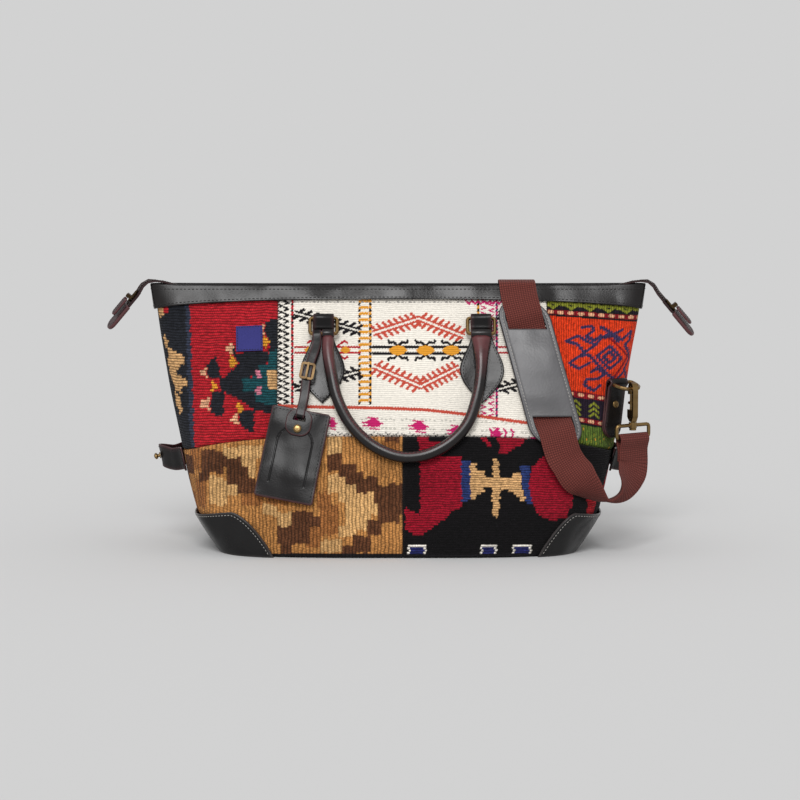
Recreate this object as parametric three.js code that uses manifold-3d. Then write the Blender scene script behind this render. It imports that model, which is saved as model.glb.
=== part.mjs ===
// Kilim weekender bag: patchwork body, leather trim, zip, two handles, luggage tag and shoulder strap.
// Millimetres. The origin is the middle of the base; the front faces -Y, +X is to the right and +Z is up.
import * as THREE from "three";
import { mergeVertices } from "three/addons/utils/BufferGeometryUtils.js";
import Module from "manifold-3d";

const wasm = await Module();
wasm.setup();

const { PI, abs, acos, asin, ceil, cos, max, min, sign, sin, sqrt } = Math;
const radians = (degrees) => (degrees * PI) / 180;

// Body
const HEIGHT = 272;
const TOP_HALF_LENGTH = 255.5;
const BASE_HALF_LENGTH = 200;
const TOP_HALF_DEPTH = 14;
const BASE_HALF_DEPTH = 112;
const END_BULGE = 4.5;
const FACE_BULGE = 9;
const FOOT_TUCK = 16;
const FOOT_RISE = 45;
const FOOT_CURVE = 1.25;
const CORNER_POWER = 4;
const CLOTH = 4;
const GAP = 0.3;
const LAY = 0.6;
const LEATHER = 2.5;

// Patchwork seams
const ROW_SEAM = 124;
const ROW_SEAM_DROP = 20;
const RED_SEAM_X = -125;
const ORANGE_SEAM_X = 155;
const LOWER_SEAM_X = 5;
const BACK_UPPER_SEAM_X = -40;
const BACK_LOWER_SEAM_X = 60;

// Base, board, lining, corners and mouth band
const BASE_PANEL = 3;
const BOARD = 3;
const BOARD_MARGIN = 6;
const LINING = 1;
const LINING_EASE = 1.4;
const LINING_DROP = 6;
const LEFT_CORNER_REACH = 126;
const RIGHT_CORNER_REACH = 142;
const CORNER_HEIGHT = 52;
const CORNER_ARC_SHARE = 0.2;
const CORNER_LAY = 1.1;
const BAND_MIDDLE = 11.5;
const BAND_ENDS = 18;
const BAND_STAND = 3;

// Zip
const TAPE = 1;
const TAPE_WIDTH = 12;
const TAIL_WIDTH_SHARE = 0.66;
const TOOTH_WIDTH = 2.4;
const TOOTH_STAND = 0.7;
const ZIP_SLIT = 0.25;
const ZIP_MOUTH = 1.5;
const TAIL_START = 17;
const TAIL_START_DROP = 6.5;
const TAIL_FALL = radians(50);
const LEFT_TAIL_TAPE = 16;
const RIGHT_TAIL_TAPE = 25;
const END_TAB_LENGTH = 32;
const END_TAB_WIDTH = 18;
const END_TAB = 4;
const SLIDER_LENGTH = 14;
const SLIDER_WIDTH = 11;
const SLIDER_PLATE = 1.5;
const LEFT_SLIDER_PLACE = 5;
const RIGHT_SLIDER_PLACE = 17.5;
const PULL_PIN = 1.8;
const PULL_LENGTH = 26;
const PULL_WIDTH = 10;
const PULL_LEATHER = 2.4;

// Handles
const WIRE = 4;
const HANDLE_CENTRE = 4.5;
const HANDLE_SPACING = 163;
const BAR_DROP = 32.5;
const RING_WIDTH = 28;
const RING_LENGTH = 18.5;
const RING_CORNER = 3;
const CHAPE_WIDTH = 21.4;
const CHAPE_LENGTH = 12.5;
const LEAF_HALF_WIDTH = 22.5;
const LEAF_BELLY_DROP = 82;
const LEAF_NECK_DROP = 46;
const LEAF_TIP_DROP = 115;
const HANDLE_RADIUS = 6;
const SHARED_WRAP_WIDTH = 12.4;

// Luggage tag
const TAG_X = -108;
const TAG_DROP = 168;
const TAG_TILT = radians(10.5);
const TAG_WIDTH = 61;
const TAG_LENGTH = 96;
const TAG_LEATHER = 2;
const TAG_SEAT = 2.4;
const TAG_FLAP_HALF_WIDTH = 19;
const TAG_FLAP_FOOT = 16;
const TAG_CUT = 0.8;
const TONGUE_WIDTH = 27;
const TONGUE_LENGTH = 28;
const TAG_SLOT_WIDTH = 12.5;
const TAG_SLOT = 6;
const TAG_SLOT_INSET = 9;
const TAG_STRAP_WIDTH = 9;
const TAG_STRAP = 1.6;
const BUCKLE_WIDTH = 15;
const BUCKLE_LENGTH = 18;
const BUCKLE_BAR = 2.4;
const BUCKLE = 1.8;
const BUCKLE_X = -93;
const BUCKLE_DROP = 87;
const SNAP_RADIUS = 4.2;

// Shoulder strap and pad
const WEB_WIDTH = 38;
const WEB = 2;
const STRAP_TOP_X = 124;
const PAD_X = 146;
const PAD_DROP = 87;
const PAD_HALF_WIDTH = 27;
const PAD_HALF_RISE = 72;
const PAD_SHIFT = 0.27;
const PAD_ROUND = 20;
const PAD = 3;
const PAD_LIFT = 3.4;
const SLOT_RISE = 51.5;
const SLOT_HALF_HEIGHT = 8;
const SLOT_EASE = 2;

// Strap ends: tab, ring, hook, bolt and eye
const RIGHT_TAB_ANGLE = radians(25.5);
const LEFT_TAB_ANGLE = radians(52);
const SIDE_RING_DROP = 97;
const TAB_LENGTH = 56;
const TAB_WIDTH = 21;
const SIDE_RING_WIDTH = 27;
const SIDE_RING_LENGTH = 20;
const SIDE_RING_NEAR_CORNER = 2.6;
const SIDE_RING_FAR_CORNER = 11;
const RIGHT_RING_FALL = radians(15);
const LEFT_RING_FALL = radians(50);
const RIGHT_HOOK_TURN = radians(-20);
const LEFT_HOOK_TURN = radians(-6);
const ROD_EASE = 1.2;
const HOOK = 5.5;
const HOOK_ARM = 4;
const HOOK_MOUTH = 4;
const HOOK_BASE = 12;
const HOOK_BASE_REACH = 9.5;
const HOOK_SHOULDER = 33;
const HOOK_TIP = 28;
const BOLT_RADIUS = 1.2;
const BOLT_FOOT = 8;
const BOLT_TRAVEL = 4;
const KNOB_RADIUS = 1.6;
const KNOB_LENGTH = 5;
const POST_RADIUS = 2;
const POST_HEAD = 2;
const POST_HEAD_RADIUS = 3.6;
const BOSS_RADIUS = 4.2;
const BOSS = 6;
const EYE_LENGTH = 13;
const EYE_SIDE_EASE = 0.5;
const FOLDED_END = 24;

// Cinch straps
const CINCH_HEIGHT = 95;
const CINCH_WIDTH = 24;
const CINCH = 2.2;
const CINCH_SEWN = 38;
const CINCH_LEAVE = 24;
const CINCH_REACH = 25;
const STUD_RADIUS = 3.3;

const V = (x, y, z) => new THREE.Vector3(x, y, z);
const UP = V(0, 0, 1);
const flat = (x, y) => new THREE.Vector2(x, y);

// Materials
const finish = (color, roughness, metalness = 0) =>
  new THREE.MeshStandardMaterial({ color, roughness, metalness });
const BLACK_LEATHER = finish(0x2d2b2d, 0.5);
const BROWN_LEATHER = finish(0x3a2a28, 0.45);
const MAROON_LEATHER = finish(0x5f3c41, 0.5);
const PAD_LEATHER = finish(0x505054, 0.55);
const BRASS = finish(0x967d4b, 0.3, 1);
const WEBBING = finish(0x6c3e38, 0.8);
const ZIP_CLOTH = finish(0x4a2f2c, 0.8);
const COTTON = finish(0x8a7a66, 0.9);
const BOARD_GREY = finish(0x777068, 0.9);
const kilim = (color) => finish(color, 0.95);

// Solids from rings of points
function closed(points, triangles) {
  const volume = triangles.reduce((sum, corner, i) => {
    if (i % 3) return sum;
    const across = points[triangles[i + 1]].clone().cross(points[triangles[i + 2]]);
    return sum + points[corner].dot(across);
  }, 0);
  if (volume < 0) triangles.reverse();
  const geometry = new THREE.BufferGeometry().setFromPoints(points);
  geometry.setIndex(triangles);
  geometry.computeVertexNormals();
  return geometry;
}

// Rings of points joined one to the next, capped at both ends, or closed into a loop where there is no cap.
function loft(rings, cap) {
  const size = rings[0].length;
  const triangles = [];
  const spans = cap ? rings.length - 1 : rings.length;
  for (let i = 0; i < spans; i++) {
    const here = i * size;
    const next = ((i + 1) % rings.length) * size;
    for (let k = 0; k < size; k++) {
      const m = (k + 1) % size;
      triangles.push(here + k, here + m, next + m, here + k, next + m, next + k);
    }
  }
  if (cap) {
    const last = (rings.length - 1) * size;
    cap.forEach(([a, b, c]) => triangles.push(a, c, b, last + a, last + b, last + c));
  }
  return closed(rings.flat(), triangles);
}

// A flat section of [side, up] points carried along frames.
function sweep(frames, section, loop = false) {
  const rings = frames.map(({ at, side, up, wide = 1, high = 1 }) =>
    section.map(([s, u]) => at.clone().addScaledVector(side, s * wide).addScaledVector(up, u * high)),
  );
  const cap = THREE.ShapeUtils.triangulateShape(section.map(([s, u]) => flat(s, u)), []);
  return loft(rings, loop ? null : cap);
}

const circle = (radius, sides) =>
  Array.from({ length: sides }, (_, i) => {
    const turn = ((i + 0.5) / sides) * 2 * PI;
    return [radius * cos(turn), radius * sin(turn)];
  });

const strip = (width, thickness) => [
  [-width / 2, -thickness / 2],
  [width / 2, -thickness / 2],
  [width / 2, thickness / 2],
  [-width / 2, thickness / 2],
];

// Frames along a smooth curve, each with its width along a guide direction.
function ribbonFrames(stations, count, loop = false) {
  const path = new THREE.CatmullRomCurve3(stations.map((s) => s.at), loop, "centripetal");
  const guide = new THREE.CatmullRomCurve3(stations.map((s) => s.side), loop, "centripetal");
  const steps = loop ? count : count + 1;
  return Array.from({ length: steps }, (_, i) => {
    const at = path.getPoint(i / count);
    const ahead = path.getTangent(i / count);
    const side = guide.getPoint(i / count).projectOnPlane(ahead).normalize();
    return { at, side, up: ahead.clone().cross(side).normalize() };
  });
}

// A wire bent into a loop: one bar along X through the origin, the other a length below it.
function wireLoop(width, length, nearCorner, farCorner) {
  const corners = [
    [width / 2 - nearCorner, -nearCorner, nearCorner],
    [nearCorner - width / 2, -nearCorner, nearCorner],
    [farCorner - width / 2, farCorner - length, farCorner],
    [width / 2 - farCorner, farCorner - length, farCorner],
  ];
  const steps = 3;
  const frames = corners.flatMap(([x, y, radius], quarter) =>
    Array.from({ length: steps + 1 }, (_, i) => {
      const turn = ((quarter + i / steps) * PI) / 2;
      const side = V(cos(turn), sin(turn), 0);
      return { at: V(x, y, 0).addScaledVector(side, radius), side, up: UP };
    }),
  );
  return sweep(frames, circle(WIRE / 2, 8), true);
}

const slab = (shape, depth) =>
  new THREE.ExtrudeGeometry(shape, { depth, bevelEnabled: false, curveSegments: 3 });

const drawCircle = (path, x, y, radius) => path.absarc(x, y, radius, 0, PI).absarc(x, y, radius, PI, 2 * PI);

// An outline drawn in (up, out) carried sideways along X.
function acrossX(shape, width) {
  const turned = new THREE.Matrix4().makeBasis(V(0, 1, 0), V(0, 0, 1), V(1, 0, 0));
  return slab(shape, width).translate(0, 0, -width / 2).applyMatrix4(turned);
}

function roundedBox(width, length, radius) {
  const [w, l] = [width / 2 - radius, length / 2 - radius];
  return new THREE.Shape()
    .absarc(w, l, radius, 0, PI / 2)
    .absarc(-w, l, radius, PI / 2, PI)
    .absarc(-w, -l, radius, PI, 1.5 * PI)
    .absarc(w, -l, radius, 1.5 * PI, 2 * PI);
}

function box(width, length, x, y) {
  const [w, l] = [width / 2, length / 2];
  const corners = [flat(x - w, y - l), flat(x + w, y - l), flat(x + w, y + l), flat(x - w, y + l)];
  return new THREE.Path(corners).closePath();
}

// Joining and cutting
function solidOf(geometry) {
  const bare = geometry.clone();
  bare.deleteAttribute("normal");
  bare.deleteAttribute("uv");
  const merged = mergeVertices(bare, 1e-4);
  const vertProperties = merged.attributes.position.array;
  const triVerts = new Uint32Array(merged.index.array);
  return new wasm.Manifold(new wasm.Mesh({ numProp: 3, vertProperties, triVerts }));
}

function geometryOf(solid) {
  const { vertProperties, triVerts } = solid.getMesh();
  const geometry = new THREE.BufferGeometry();
  geometry.setAttribute("position", new THREE.BufferAttribute(vertProperties, 3));
  geometry.setIndex(new THREE.BufferAttribute(triVerts, 1));
  geometry.computeVertexNormals();
  return geometry;
}

const join = (...pieces) => geometryOf(pieces.map(solidOf).reduce((all, next) => all.add(next)));
const cut = (piece, ...tools) =>
  geometryOf(tools.map(solidOf).reduce((left, tool) => left.subtract(tool), solidOf(piece)));

// The bag's skin: a rounded oblong at each height, long and thin at the mouth, wide at the foot
function halfSizes(z) {
  const share = z / HEIGHT;
  const bulge = 4 * share * (1 - share);
  const tuck = FOOT_TUCK * max(0, 1 - z / FOOT_RISE) ** FOOT_CURVE;
  const length = BASE_HALF_LENGTH + (TOP_HALF_LENGTH - BASE_HALF_LENGTH) * share;
  const depth = BASE_HALF_DEPTH + (TOP_HALF_DEPTH - BASE_HALF_DEPTH) * share;
  return [length + END_BULGE * bulge - tuck, depth + FACE_BULGE * bulge - tuck];
}

// Angles run from the right end (0) over the front (PI / 2) and the left end (PI) to the back.
function skinPoint(angle, z, out = 0) {
  const [a, b] = halfSizes(z);
  const [c, s] = [cos(angle), sin(angle)];
  const power = 2 / CORNER_POWER;
  return V((a + out) * sign(c) * abs(c) ** power, -(b + out) * sign(s) * abs(s) ** power, z);
}

// The rows of the patchwork dip towards the ends.
const rowHeight = (angle, share) =>
  share * HEIGHT - ROW_SEAM_DROP * cos(angle) ** 2 * 4 * share * (1 - share);

function skinNormal(angle, z) {
  const along = skinPoint(angle + 0.01, z).sub(skinPoint(angle - 0.01, z));
  return skinPoint(angle, z + 1).sub(skinPoint(angle, z - 1)).cross(along).normalize();
}

const faceAngle = (x, z) => acos(sign(x) * min(1, abs(x) / halfSizes(z)[0]) ** (CORNER_POWER / 2));

function facePoint(x, z, out) {
  const angle = faceAngle(x, z);
  return skinPoint(angle, z).addScaledVector(skinNormal(angle, z), out);
}

// Axes on the skin: across it, up it and out of it.
function skinFrame(angle, z) {
  const out = skinNormal(angle, z);
  const across = UP.clone().cross(out).normalize();
  const rise = out.clone().cross(across);
  return new THREE.Matrix4().makeBasis(across, rise, out).setPosition(skinPoint(angle, z));
}

const even = (count) => Array.from({ length: count + 1 }, (_, i) => i / count);

// A piece of cloth or leather that follows the skin between two side lines and two height lines.
function skinPiece({ from, to, low, high, columns, rows, outer, inner }) {
  const column = (k) => {
    const side = (out) =>
      rows.map((row) => {
        const share = low(k) + (high(k) - low(k)) * row;
        const angle = from(share) + (to(share) - from(share)) * k;
        return skinPoint(angle, rowHeight(angle, share), out);
      });
    return [...side(outer), ...side(inner).reverse()];
  };
  const last = 2 * rows.length - 1;
  const cap = rows.slice(1).flatMap((_, j) => [
    [j, j + 1, last - j - 1],
    [j, last - j - 1, last - j],
  ]);
  return loft(columns.map(column), cap);
}

const bag = new THREE.Group();

function add(name, geometry, material, parent = bag) {
  const mesh = new THREE.Mesh(geometry, material);
  mesh.name = name;
  parent.add(mesh);
  return mesh;
}

// Patchwork panels
const always = (value) => () => value;
const endEdge = (share) => asin((GAP / 2 / halfSizes(share * HEIGHT)[1]) ** (CORNER_POWER / 2));
const rightEnd = (share) => endEdge(share);
const leftEnd = (share) => PI - endEdge(share);
const seam = (x, shift) => (share) => faceAngle(x + shift * (GAP / 2), share * HEIGHT);
const behind = (line) => (share) => 2 * PI - line(share);
const SEAM_SHARE = ROW_SEAM / HEIGHT;
const SEAM_EASE = GAP / 2 / HEIGHT;
const COLUMN_TURN = radians(7.5);
const LOWER_ROWS = [0, 0.04, 0.1, 0.18, 0.28, 0.42, 0.68, 1];
const UPPER_ROWS = [0, 0.25, 0.5, 0.75, 1];

function patch(name, from, to, upper, color) {
  const middle = (SEAM_SHARE + (upper ? 1 : 0)) / 2;
  const columns = even(ceil(abs(to(middle) - from(middle)) / COLUMN_TURN));
  const low = always(upper ? SEAM_SHARE + SEAM_EASE : 0);
  const high = always(upper ? 1 : SEAM_SHARE - SEAM_EASE);
  const rows = upper ? UPPER_ROWS : LOWER_ROWS;
  add(name, skinPiece({ from, to, low, high, columns, rows, outer: 0, inner: -CLOTH }), kilim(color));
}

patch("front_patch_orange", rightEnd, seam(ORANGE_SEAM_X, 1), true, 0xd7461e);
patch("front_patch_cream", seam(ORANGE_SEAM_X, -1), seam(RED_SEAM_X, 1), true, 0xe4ded4);
patch("front_patch_red", seam(RED_SEAM_X, -1), leftEnd, true, 0xaf232d);
patch("front_patch_black", rightEnd, seam(LOWER_SEAM_X, 1), false, 0x26282d);
patch("front_patch_brown", seam(LOWER_SEAM_X, -1), leftEnd, false, 0x8c5f32);
patch("back_patch_red", behind(leftEnd), behind(seam(BACK_UPPER_SEAM_X, -1)), true, 0xaf232d);
patch("back_patch_cream", behind(seam(BACK_UPPER_SEAM_X, 1)), behind(rightEnd), true, 0xe4ded4);
patch("back_patch_brown", behind(leftEnd), behind(seam(BACK_LOWER_SEAM_X, -1)), false, 0x8c5f32);
patch("back_patch_black", behind(seam(BACK_LOWER_SEAM_X, 1)), behind(rightEnd), false, 0x26282d);

// Base panel, stiffening board and lining
const OUTLINE_SIDES = 40;
const around = (z, out, sides) =>
  Array.from({ length: sides }, (_, i) => skinPoint((-2 * PI * i) / sides, z, out));
const footShape = (out) => new THREE.Shape(around(0, out, OUTLINE_SIDES).map((p) => flat(p.x, p.y)));
add("base_panel", slab(footShape(-CLOTH - GAP), BASE_PANEL), BLACK_LEATHER);
const boardFoot = BASE_PANEL + GAP;
add("base_board", slab(footShape(-CLOTH - BOARD_MARGIN), BOARD).translate(0, 0, boardFoot), BOARD_GREY);

function lining() {
  const sides = 24;
  const foot = boardFoot + BOARD + GAP;
  const rows = [0, 0.05, 0.1, 0.16, 0.22, 0.4, 1];
  const levels = rows.map((row) => foot + (HEIGHT - LINING_DROP - foot) * row);
  const outside = levels.map((z) => around(z, -CLOTH - LINING_EASE, sides));
  const inside = levels.map((z) => around(z + LINING * (z === foot), -CLOTH - LINING_EASE - LINING, sides));
  const middle = (z) => Array.from({ length: sides }, () => V(0, 0, z));
  const rings = [middle(foot), ...outside, ...inside.reverse(), middle(foot + LINING)];
  return geometryOf(solidOf(loft(rings, [])));
}
add("lining", lining(), COTTON);

// Leather corner patches at the foot
const HALVES = [
  ["front", 0],
  ["back", PI],
];

for (const [half, turn] of HALVES) {
  const group = new THREE.Group();
  group.rotation.z = turn;
  bag.add(group);
  const leftEdge = faceAngle(-LEFT_CORNER_REACH, 0);
  const rightEdge = faceAngle(RIGHT_CORNER_REACH, 0);
  const arch = (k) => sqrt(1 - (1 - min(1, k / CORNER_ARC_SHARE)) ** 2);
  const high = (k) => (max(0.1, arch(k)) * CORNER_HEIGHT) / HEIGHT;
  const rows = [0, 0.1, 0.22, 0.4, 0.65, 1];
  const [inner, outer] = [CORNER_LAY, CORNER_LAY + LEATHER];
  const columns = [0, 0.01, 0.025, 0.045, 0.07, 0.1, 0.14, 0.2, 0.3, 0.4, 0.5, 0.6, 0.7, 0.8, 0.9, 1];
  const shared = { low: always(0), rows, outer, inner };
  const left = skinPiece({ ...shared, columns, from: always(leftEdge), to: leftEnd, high });
  const right = skinPiece({
    ...shared,
    columns: columns.map((k) => 1 - k).reverse(),
    from: rightEnd,
    to: always(rightEdge),
    high: (k) => high(1 - k),
  });
  const [first, second] = turn ? ["right", "left"] : ["left", "right"];
  add(`${half}_corner_${first}`, left, BLACK_LEATHER, group);
  add(`${half}_corner_${second}`, right, BLACK_LEATHER, group);
}

// Leather band round the mouth
for (const [half, turn] of HALVES) {
  const low = (k) => 1 - (BAND_MIDDLE + (BAND_ENDS - BAND_MIDDLE) * abs(2 * k - 1)) / HEIGHT;
  const high = always(1 + BAND_STAND / HEIGHT);
  const [from, to] = turn ? [behind(leftEnd), behind(rightEnd)] : [rightEnd, leftEnd];
  const rows = [0, 0.5, 1];
  const columns = even(24);
  const band = skinPiece({ from, to, low, high, columns, rows, outer: LAY + LEATHER, inner: LAY });
  add(`${half}_band`, band, BLACK_LEATHER);
}

// Zip tapes with their rows of teeth, running past the ends of the bag as two drooping tails
const tailStart = V(TOP_HALF_LENGTH + TAIL_START, 0, HEIGHT - TAIL_START_DROP);
const tailWay = V(cos(TAIL_FALL), 0, -sin(TAIL_FALL));
const onTail = (distance) => tailStart.clone().addScaledVector(tailWay, distance);
const tapeLevel = HEIGHT + GAP + TAPE / 2;
const overBand = HEIGHT + BAND_STAND + 1 + GAP + TAPE / 2 + TOOTH_STAND;
const mouthEnd = TOP_HALF_LENGTH;
const tapeRise = (sliderPlace, tailTape) => [
  [V(mouthEnd - 95, 0, tapeLevel), ZIP_SLIT, 1],
  [V(mouthEnd - 60, 0, tapeLevel), ZIP_SLIT, 0.88],
  [V(mouthEnd - 26, 0, tapeLevel + 0.5), ZIP_SLIT, 0.7],
  [V(mouthEnd - 10, 0, overBand), ZIP_SLIT, TAIL_WIDTH_SHARE],
  [V(mouthEnd - 1, 0, overBand + 0.9), ZIP_SLIT, TAIL_WIDTH_SHARE],
  [V(mouthEnd + 6, 0, overBand + 0.4), ZIP_SLIT, TAIL_WIDTH_SHARE],
  [V(mouthEnd + 12, 0, overBand - 4), ZIP_SLIT, TAIL_WIDTH_SHARE],
  [onTail(0), ZIP_SLIT, TAIL_WIDTH_SHARE],
  [onTail(sliderPlace - SLIDER_LENGTH / 2 + 3), ZIP_MOUTH, TAIL_WIDTH_SHARE],
  [onTail(tailTape), ZIP_MOUTH, TAIL_WIDTH_SHARE],
];
const leftTail = tapeRise(LEFT_SLIDER_PLACE, LEFT_TAIL_TAPE);
const turnedTail = leftTail.map(([p, slit, wide]) => [V(-p.x, 0, p.z), slit, wide]).reverse();
const tapePath = [...turnedTail, ...tapeRise(RIGHT_SLIDER_PLACE, RIGHT_TAIL_TAPE)];

function zipTape(way) {
  const tooth = TAPE / 2 + TOOTH_STAND;
  const section = [
    [0, -tooth],
    [TOOTH_WIDTH, -tooth],
    [TOOTH_WIDTH, -TAPE / 2],
    [TAPE_WIDTH, -TAPE / 2],
    [TAPE_WIDTH, TAPE / 2],
    [TOOTH_WIDTH, TAPE / 2],
    [TOOTH_WIDTH, tooth],
    [0, tooth],
  ];
  const frames = tapePath.map(([p, slit, wide], i) => {
    const before = tapePath[max(0, i - 1)][0];
    const after = tapePath[min(tapePath.length - 1, i + 1)][0];
    const ahead = after.clone().sub(before).normalize();
    const side = V(0, way, 0);
    return { at: p.clone().addScaledVector(side, slit), side, up: V(-ahead.z, 0, ahead.x), wide };
  });
  return sweep(frames, section);
}
add("zip_tape_front", zipTape(-1), ZIP_CLOTH);
add("zip_tape_back", zipTape(1), ZIP_CLOTH);

const KNUCKLE = 1.4;
const KNUCKLE_RADIUS = PULL_PIN / 2 + GAP + KNUCKLE;
const EAR = 1.4;
const EAR_PLACE = 3;
const plateLevel = TAPE / 2 + TOOTH_STAND + GAP;
const pinLevel = plateLevel + SLIDER_PLATE + GAP + KNUCKLE_RADIUS;
const pinPlace = SLIDER_LENGTH / 2 - 4;

// A slider: two plates held apart by a web in the slit, with two ears that carry the pull's pin.
function zipSlider() {
  const [half, wide] = [SLIDER_LENGTH / 2, SLIDER_WIDTH / 2];
  const outline = new THREE.Shape([
    flat(-half, -wide * 0.7),
    flat(half - 3, -wide),
    flat(half, -wide * 0.55),
    flat(half, wide * 0.55),
    flat(half - 3, wide),
    flat(-half, wide * 0.7),
  ]);
  const top = slab(outline, SLIDER_PLATE).translate(0, 0, plateLevel);
  const bottom = slab(outline, SLIDER_PLATE).translate(0, 0, -plateLevel - SLIDER_PLATE);
  const webWidth = 2 * (ZIP_MOUTH - 2 * GAP);
  const web = new THREE.BoxGeometry(SLIDER_LENGTH * 0.6, webWidth, 2 * plateLevel + SLIDER_PLATE);
  const earHeight = pinLevel + PULL_PIN / 2 + 1 - plateLevel;
  const ears = [-1, 1].map((way) =>
    new THREE.BoxGeometry(PULL_PIN + 2, EAR, earHeight).translate(
      pinPlace,
      way * (EAR_PLACE + EAR / 2),
      plateLevel + earHeight / 2,
    ),
  );
  const pin = new THREE.CylinderGeometry(PULL_PIN / 2, PULL_PIN / 2, 2 * EAR_PLACE + EAR, 8);
  return join(top, bottom, web, ...ears, pin.translate(pinPlace, 0, pinLevel));
}

// A leather pull folded round the slider's pin: X runs along it, the pin is at the origin.
function zipPull() {
  const eye = drawCircle(new THREE.Shape(), 0, 0, KNUCKLE_RADIUS);
  eye.holes.push(drawCircle(new THREE.Path(), 0, 0, PULL_PIN / 2 + GAP));
  const eyeWidth = 2 * (EAR_PLACE - GAP);
  const upright = new THREE.Matrix4().makeRotationX(PI / 2);
  const knuckle = slab(eye, eyeWidth).translate(0, 0, -eyeWidth / 2).applyMatrix4(upright);
  const neckStart = PULL_PIN / 2 + GAP + KNUCKLE / 2;
  const neck = new THREE.BoxGeometry(4, eyeWidth, PULL_LEATHER).translate(neckStart + 2, 0, 0);
  const strapLength = PULL_LENGTH - KNUCKLE_RADIUS - 1;
  const strap = slab(roundedBox(strapLength, PULL_WIDTH, 2), PULL_LEATHER);
  strap.translate(KNUCKLE_RADIUS + 1 + strapLength / 2, 0, -PULL_LEATHER / 2);
  return join(knuckle, neck, strap);
}

// A leather strap end folded round a bar: (up, out) outline with the bar at up = 0.
const BAR_SEAT = LAY + LEATHER + GAP + WIRE / 2;
const FOLD_RADIUS = WIRE / 2 + GAP + LEATHER;
function foldedTab(length, width) {
  const lean = FOLD_RADIUS * Math.SQRT1_2;
  const outline = new THREE.Shape()
    .moveTo(-length, LAY)
    .lineTo(0, LAY)
    .absarc(0, BAR_SEAT, FOLD_RADIUS, -PI / 2, 0.75 * PI)
    .lineTo(-lean, BAR_SEAT + lean)
    .lineTo(-length, LAY + 2 * LEATHER);
  outline.holes.push(drawCircle(new THREE.Path(), 0, BAR_SEAT, WIRE / 2 + GAP));
  return acrossX(outline, width);
}

// Handles with their leaf tabs and rings
const BAR_HEIGHT = HEIGHT - BAR_DROP;
const WRAP_EASE = 0.8;
const lowerSeat = LAY + LEATHER + WRAP_EASE + FOLD_RADIUS;
const ringDip = lowerSeat - BAR_SEAT;
const ringFall = sqrt(RING_LENGTH ** 2 - ringDip ** 2);
const handleFrame = skinFrame(PI / 2, BAR_HEIGHT);
const handleOut = V(0, 0, 1).transformDirection(handleFrame);
const onHandle = (x, up, out) => V(x, up, out).applyMatrix4(handleFrame);
const ringX = [-1, 1].map((way) => HANDLE_CENTRE + (way * HANDLE_SPACING) / 2);
const innerHalfRing = RING_WIDTH / 2 - WIRE / 2;
const sharedWrapX = ringX[0] + innerHalfRing - 1 - SHARED_WRAP_WIDTH / 2;
const tagStrapX = ringX[0] - innerHalfRing + WRAP_EASE + TAG_STRAP_WIDTH / 2;

const HANDLE_TURN_DROP = 34.5;
const HANDLE_PATH = [
  [-69, 53.5, 4.1],
  [-62, 81.5, 3.7],
  [-48, 106.5, 2.2],
  [-26, 126.5, 1.2],
  [2, 137.5, 0.8],
  [29, 135.5, 0.8],
  [53, 124, 1.2],
  [71, 105.5, 2.2],
  [81, 79.5, 3.7],
  [85.5, 53.5, 4.1],
];

function leafTab(x) {
  const [tip, belly, neck] = [LEAF_TIP_DROP, LEAF_BELLY_DROP, LEAF_NECK_DROP].map((drop) => HEIGHT - drop);
  const halfWidth = (z) => {
    if (z < belly) return max(0.8, LEAF_HALF_WIDTH * sin(((z - tip) / (belly - tip)) * (PI / 2)));
    const share = min(1, (z - belly) / (neck - belly));
    return CHAPE_WIDTH / 2 + (LEAF_HALF_WIDTH - CHAPE_WIDTH / 2) * (0.5 + 0.5 * cos(share * PI));
  };
  const side = (way) => (share) => faceAngle(x + way * halfWidth(share * HEIGHT), share * HEIGHT);
  const leaf = skinPiece({
    from: side(1),
    to: side(-1),
    low: always(tip / HEIGHT),
    high: always(BAR_HEIGHT / HEIGHT),
    columns: even(3),
    rows: [0, 0.08, 0.2, 0.3, 0.42, 0.6, 0.78, 1],
    outer: LAY + LEATHER,
    inner: LAY,
  });
  const chape = foldedTab(CHAPE_LENGTH, CHAPE_WIDTH).translate(x, 0, 0).applyMatrix4(handleFrame);
  return join(leaf, chape);
}

function handleRing(x) {
  const way = onHandle(x, -ringFall, lowerSeat).sub(onHandle(x, 0, BAR_SEAT)).normalize();
  const across = V(1, 0, 0);
  const back = way.clone().negate();
  const turn = new THREE.Matrix4().makeBasis(across, back, across.clone().cross(back));
  return turn.setPosition(onHandle(x, 0, BAR_SEAT));
}

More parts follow.
